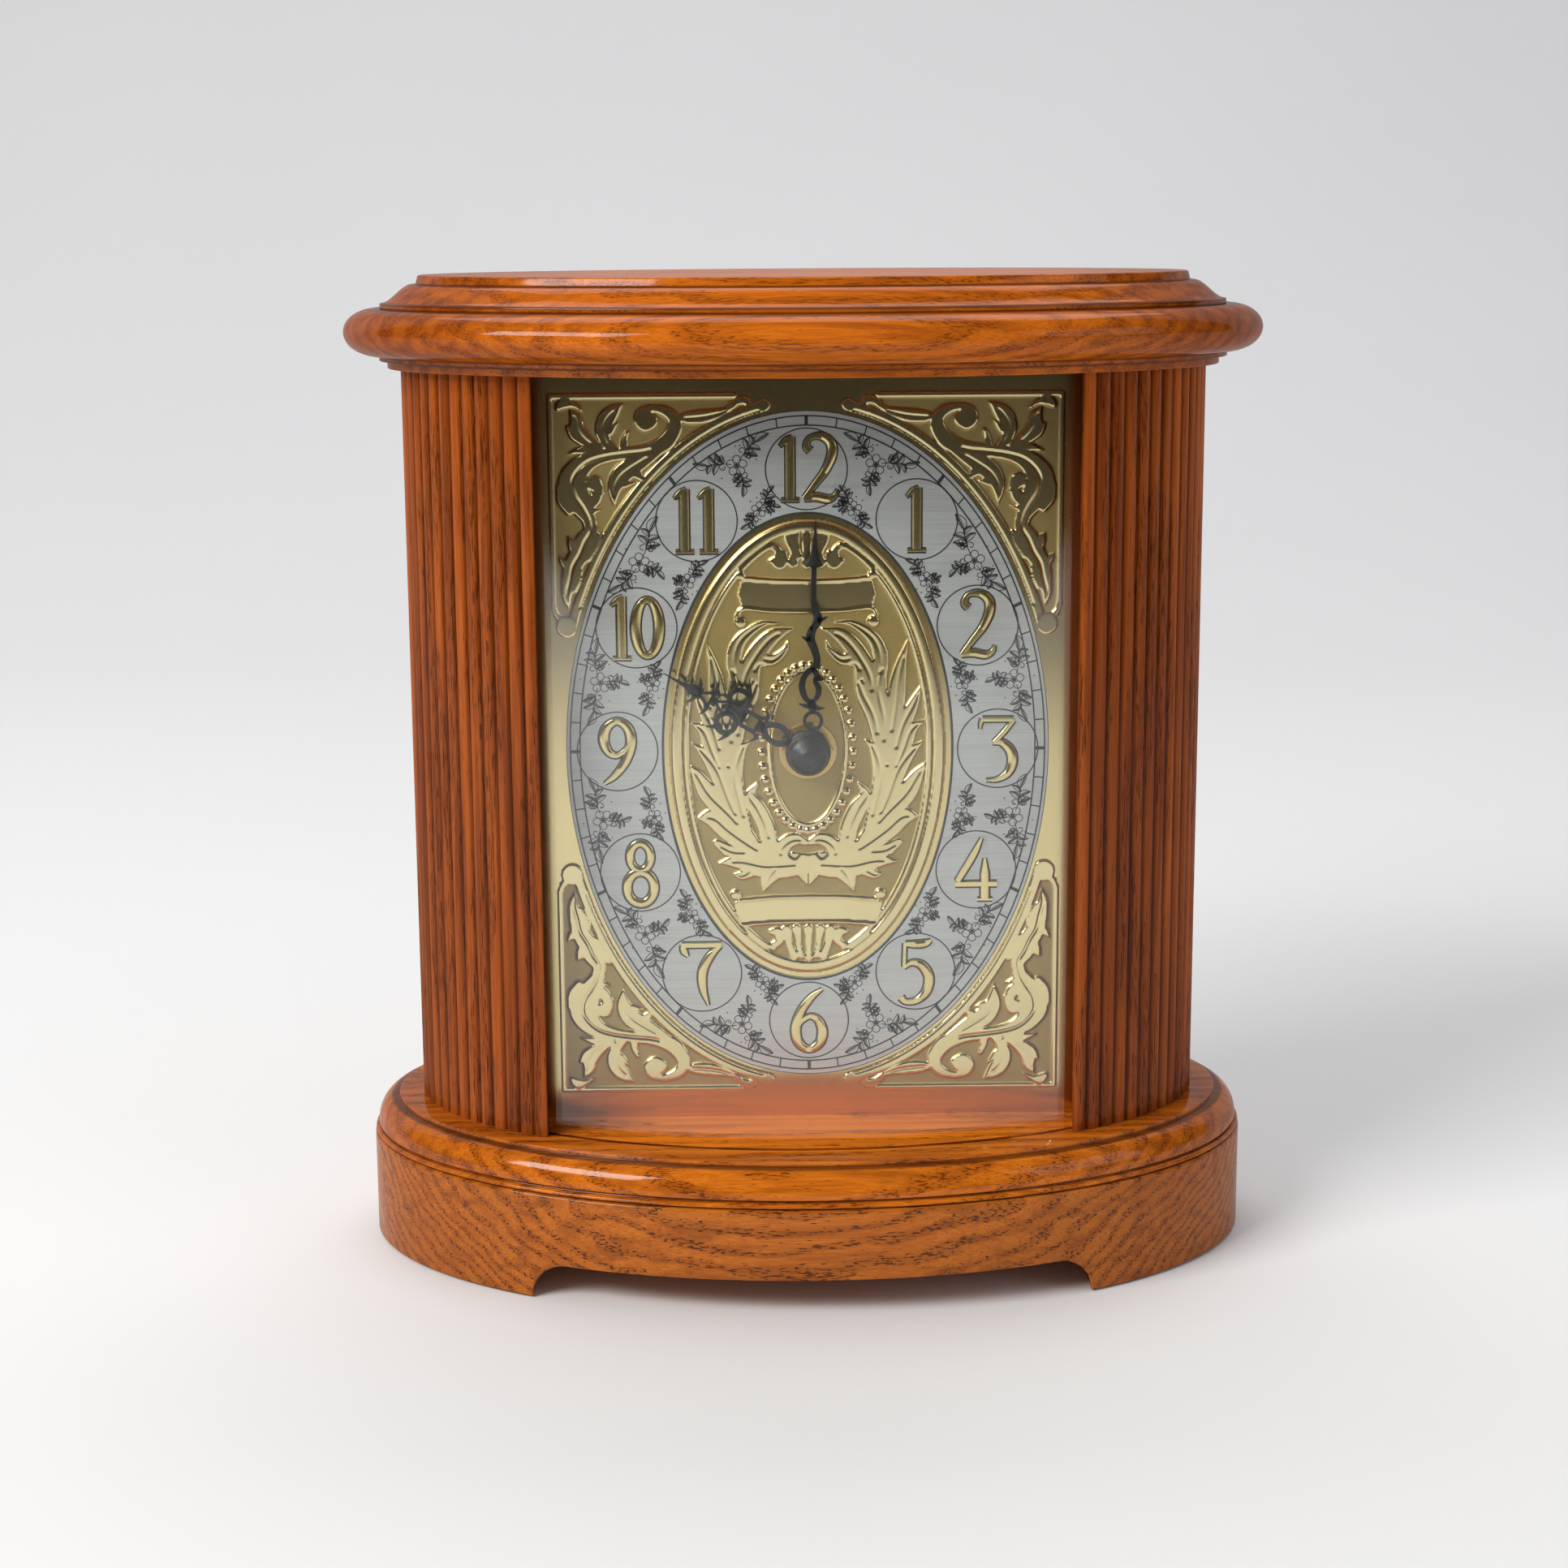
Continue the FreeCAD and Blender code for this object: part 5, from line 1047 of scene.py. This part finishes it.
def spray_print(ink, centre, tips, size, place):
    """Spray of flowers: a bloom in the middle and a leafy arm towards each tip."""
    flower_print(ink, centre, size, 0.3, place)
    for n, (dx, dz) in enumerate(tips):
        reach = math.hypot(dx, dz)
        heading = math.atan2(dz, dx)
        sway = 0.35 if n % 2 else -0.35
        arm = []
        for i in range(7):
            t = 0.15 + 0.6 * i / 6
            arm.append(beyond(centre, heading + sway * (1 - t), reach * t) + (0.12,))
        ink.sweep(arm, place)
        end = arm[-1][:2]
        leaf_print(ink, end, heading, reach * 0.42, 0.5, place)
        for k, side in ((2, 1), (3, -1), (4, 1), (5, -1)):
            base = arm[k][:2]
            leaf_print(ink, base, heading + side * 0.7, 1 + reach * (0.32 - 0.03 * k), side * 0.6, place)
        curl_print(ink, arm[2][:2], heading + 1.25, size * 0.62, 1, place)
        curl_print(ink, arm[2][:2], heading - 1.35, size * 0.55, -1, place)
        if reach > 5.5:
            flower_print(ink, beyond(arm[3], heading + math.pi / 2, 0.9), size * 0.5, 0.9, place)
        for k in range(3):
            ink.dot(*beyond(centre, heading + (k - 1) * 1.1 + 0.5, reach * 0.52), 0.2, place)


LARGE_SPRAYS = [((17, 71), [(-6.6, 7), (9.2, -0.8), (-1.4, -6.6)]),
                ((41.2, 47.2), [(6.6, -6.4), (-2.6, 10.4), (-5.4, -3.4)]),
                ((51.2, 17.4), [(0.6, 9.8), (1.6, -9.6), (-6.2, -0.4)])]
SMALL_SPRAYS = [((11.6, 60.2), [(3.9, -4.2), (-2.4, 5.4), (-4.6, 0.6)]),
                ((29.4, 42.6), [(3.2, 0.8), (1.6, -6.4), (-4.4, 4.6)]),
                ((38.4, 16.8), [(-1.8, 5.4), (1.2, -7), (2.4, 2.6)])]


def ring_prints():
    """Minute track, hour circles and floral sprays, printed in black on the silvered ring."""
    ink = Strokes(RING_Y + 0.02, 0.07, PRINTED)
    outer, inner = (59, 83.1), (56.6, 80.8)
    rims = ((grown(RING_IN, 0.25), 0.3), (grown(RING_OUT, -0.1), 0.1))
    for semi, width in ((outer, 0.2), (inner, 0.2), *rims):
        ink.sweep(loop_line(semi, (0, HAND_Z), width, 160), closed=True)

    def minute_point(a):
        return (57.8 * math.sin(a), 82 * math.cos(a))

    marks = even_spots(minute_point, 0, 2 * math.pi, 3600, lambda length: 60)
    for n, a in enumerate(marks[:-1]):
        width = 0.45 if n % 5 == 0 else 0.18
        ink.sweep([(s[0] * math.sin(a), HAND_Z + s[1] * math.cos(a), width) for s in (inner, outer)])
    for hour in range(12):
        ink.sweep(circle_line(*numeral_centre(hour), 10, 0.18, 60), closed=True)
    for sx in (-1, 1):
        for sz in (-1, 1):
            place = (lambda x, z: (sx * x, HAND_Z + sz * z))
            for sprays, size in ((LARGE_SPRAYS, 1.6), (SMALL_SPRAYS, 1.2)):
                for centre, tips in sprays:
                    spray_print(ink, centre, tips, size, place)
    ink.piece("ring_prints", PRINT_BLACK)


# ---------------------------------------------------------------- hands
def hand_piece(node, strokes, degrees):
    """Pierced hand of strokes (side, distance, half-width), pointing up before it is turned."""
    plate = 0.5
    body = Strokes(low(node, 1) + plate, plate, PLATE)
    turn = math.radians(degrees)

    def place(side, distance):
        return (side * math.cos(turn) + distance * math.sin(turn),
                HAND_Z - side * math.sin(turn) + distance * math.cos(turn))

    for path, closed in strokes:
        body.sweep(path, place, closed=closed)
    body.piece(f"{node}_plate", MATERIALS["black_metal"], body=node, slot="black_metal", replaces=[node])


def minute_hand():
    loop = smooth([(0, 13.4, 0.6), (-1.4, 14.8, 0.75), (-2.1, 17.3, 0.8), (-1.5, 19.9, 0.75),
                   (0.1, 21.4, 0.75), (1.5, 20.2, 0.7), (1.1, 18.6, 0.6), (2, 16.9, 0.75),
                   (1.7, 14.8, 0.7)], closed=True, steps=5)
    snake = smooth([(0.1, 21.4, 0.7), (1.4, 23.4, 0.85), (0.7, 26.4, 0.95), (-0.4, 29.2, 1.15),
                    (0.2, 31.8, 1), (1.3, 34, 1.15), (0.7, 36, 0.85), (0.1, 38.5, 0.65),
                    (0, 47, 0.65)])
    strokes = [(circle_line(0, 0, 3.9, 1.4), True),
               (smooth([(0, 3, 1.4), (0.5, 5.2, 1.1), (0.8, 6.6, 0.7)]), False),
               (circle_line(0.9, 8.7, 2.1, 0.45), True),
               (smooth([(0.8, 10.8, 0.7), (0.5, 12.4, 1.2), (0.1, 13.8, 0.7)]), False),
               (loop, True), (snake, False)]
    for barb in ([(0.4, 12.6, 0.9), (-1.2, 12.4, 0.5), (-2.8, 12.9, 0.1)],
                 [(0.6, 12.4, 0.9), (2.2, 11.8, 0.5), (3.7, 12, 0.1)],
                 [(1.4, 19.4, 0.8), (2.6, 19.1, 0.4), (3.6, 19.6, 0.1)],
                 [(-0.3, 29.2, 1), (-1.4, 29, 0.5), (-2.5, 29.6, 0.1)],
                 [(1.2, 33.8, 1), (2.4, 34, 0.5), (3.7, 34.7, 0.1)],
                 [(0.1, 31.6, 0.8), (-0.9, 31.7, 0.15)]):
        strokes.append((smooth(barb), False))
    point = [(0, 46.6, 0.5), (0, 47.2, 2.25), (0, 48.4, 1.5), (0, 50, 0.95), (0, 52, 0.6), (0, 58.4, 0.1)]
    strokes.append((point, False))
    hand_piece("minute_hand", strokes, 2)


def hour_hand():
    leaf = smooth([(0.3, 5.6, 0.8), (-1.6, 8, 0.75), (-1.5, 10.6, 0.7), (0.4, 13, 0.9), (2.2, 10.8, 0.7),
                   (2.3, 8, 0.75)], closed=True, steps=5)
    square = [(-1.9, 14.4, 0.75), (-1.9, 18.4, 0.75), (1.9, 18.4, 0.75), (1.9, 14.4, 0.75)]
    first = [(-1.9, 23, 0.65), (0, 26.6, 0.7), (1.9, 23, 0.65)]
    second = [(-1.9, 27.6, 0.75), (0, 31, 0.8), (1.9, 27.6, 0.75)]
    strokes = [(circle_line(0, 0, 4.4, 1.2), True), ([(0, 3.5, 1.6), (0.2, 6, 1.1)], False),
               (leaf, True), ([(0.2, 12.4, 1.1), (0, 14.6, 1.6)], False), (square, True),
               ([(0, 18, 1.6), (0, 20.6, 1), (0, 23.2, 1.4)], False),
               (first, True), ([(0, 26, 1.2), (0, 27.6, 1.2)], False), (second, True),
               (smooth([(0, 30.2, 1.5), (0, 33.2, 1.3), (0, 35.2, 0.55), (0, 41, 0.1)]), False)]
    for side in (-1, 1):
        strokes.append((circle_line(side * 3.35, 21.5, 2.45, 0.65), True))
        for barb in ([(2, 13.6, 0.8), (3, 13.2, 0.5), (4.4, 14, 0.1)],
                     [(5.2, 19.8, 0.8), (6.6, 20.2, 0.5), (8.2, 21.1, 0.1)],
                     [(5.2, 23.2, 0.7), (6, 24.4, 0.4), (6.4, 25.6, 0.1)],
                     [(1.6, 27.8, 0.9), (3, 27.6, 0.5), (4.6, 28.2, 0.1)],
                     [(0.6, 31.6, 1), (2, 31.6, 0.5), (3.5, 32.4, 0.1)]):
            strokes.append((smooth([(side * s, d, w) for s, d, w in barb]), False))
    hand_piece("hour_hand", strokes, -60)


# ---------------------------------------------------------------- stage, light and camera
def stage():
    s = Surface("stage_paper_painted_light", Roughness=0.9, Specular_IOR_Level=0.2)
    place = s.add("TexCoord", {}, out="Object")
    paper = s.noise(place, 3, 3)
    path = s.tree.nodes.new("ShaderNodeLightPath")
    y = s.axis(place, "Y")
    # painted light: the floor and backdrop are a little lighter in front and darker towards the back
    tone = s.mix(s.ramp(y, -0.5, 1.6), (0.79, 0.79, 0.785), (0.735, 0.735, 0.74))
    s.set("Base Color", s.mix(s.ramp(paper, 0.3, 0.7, 0, 0.06), tone, (0.9, 0.9, 0.9)))
    # painted reflection: seen in reflections, the floor far in front turns dark brown
    far_in_reflections = s.ramp(y, -1.04, -0.76, 1, 0)
    dark = s.times(far_in_reflections, path.outputs["Is Glossy Ray"])
    # painted glow: the paper gives off light of its own, more the farther it is from the clock
    x = s.axis(place, "X")
    away = s.math("MINIMUM", y, 0)
    distance = s.math("SQRT", s.math("ADD", s.times(x, x), s.times(away, away)))
    s.set("Emission Color", (1, 1, 1))
    s.set("Emission Strength", s.ramp(distance, 0.7, 2.6, 0, 0.42))
    shade = s.add("BsdfDiffuse", {"Color": (0.05, 0.042, 0.032)})
    both = s.add("MixShader", {0: dark, 1: s.shader.outputs[0], 2: shade})
    s.tree.links.new(both, s.output.inputs[0])

    rise = 1.3
    start = 0.9
    profile = [(-6, 0), (-1.5, 0), (-0.4, 0), (0.4, 0)]
    profile += arc((start, rise), (rise, rise), -90, 0, 24) + [(start + rise, 5)]
    xs = (-5, -1, 0, 1, 5)
    verts = [(across, *spot) for across in xs for spot in profile]
    mesh = bpy.data.meshes.new("stage_floor")
    mesh.from_pydata(verts, [], wall_faces(len(xs), len(profile), closed=False))
    mesh.polygons.foreach_set("use_smooth", [True] * len(mesh.polygons))
    mesh.materials.append(s.material)
    linked("stage_floor", mesh)


def softbox(name, place, aim, size, power, colour=(1, 1, 1)):
    light = bpy.data.lights.new(name, "AREA")
    light.shape = "RECTANGLE"
    light.size, light.size_y = size
    light.energy = power
    light.color = colour
    obj = linked(name, light)
    obj.location = place
    obj.rotation_euler = (Vector(aim) - Vector(place)).to_track_quat("-Z", "Y").to_euler()


def lighting():
    bpy.context.scene.view_settings.view_transform = "Standard"
    world = bpy.data.worlds.new("studio")
    bpy.context.scene.world = world
    world.use_nodes = True
    tree = world.node_tree
    sky = tree.nodes["Background"]
    sky.inputs[0].default_value = (0.93, 0.95, 1, 1)
    sky.inputs[1].default_value = 0.36
    path = tree.nodes.new("ShaderNodeLightPath")
    last = sky.outputs[0]
    for ray, tone in (("Is Glossy Ray", (0.05, 0.042, 0.035)), ("Is Camera Ray", (0.68, 0.68, 0.69))):
        room = tree.nodes.new("ShaderNodeBackground")
        room.inputs[0].default_value = tone + (1,)
        both = tree.nodes.new("ShaderNodeMixShader")
        tree.links.new(path.outputs[ray], both.inputs[0])
        tree.links.new(last, both.inputs[1])
        tree.links.new(room.outputs[0], both.inputs[2])
        last = both.outputs[0]
    tree.links.new(last, tree.nodes["World Output"].inputs[0])
    aim = (0, 0, 0.12)
    softbox("key_left", (-1.4, -1.15, 1.35), aim, (1.15, 0.7), 42, (1, 0.98, 0.95))
    softbox("top", (0, 0.95, 1.8), aim, (1.7, 1), 14)
    softbox("fill_right", (1.7, -1, 0.9), aim, (1.2, 1.2), 6, (0.96, 0.98, 1))


def camera():
    """Seen from the front, slightly from above, as a standing product picture."""
    place = Vector((-14.357, -722.008, 263.878)) * MM
    pitch, yaw, roll = (math.radians(a) for a in (11.401, 0.692, -0.372))
    ahead = Vector((math.sin(yaw) * math.cos(pitch), math.cos(yaw) * math.cos(pitch), -math.sin(pitch)))
    level = Vector((math.cos(yaw), -math.sin(yaw), 0))
    up = level.cross(ahead)
    right = math.cos(roll) * level + math.sin(roll) * up
    above = -math.sin(roll) * level + math.cos(roll) * up
    data = bpy.data.cameras.new("camera")
    data.lens = 64.64
    data.sensor_width = 36
    data.clip_start = 0.01
    obj = linked("camera", data)
    obj.matrix_world = Matrix.Translation(place) @ Matrix((right, above, -ahead)).transposed().to_4x4()
    bpy.context.scene.camera = obj


dress_cad()
wood_mouldings()
plinth()
tambour(-1)
tambour(1)
front_glass()
spandrels()
medallion()
numerals()
ring_prints()
minute_hand()
hour_hand()
stage()
lighting()
camera()
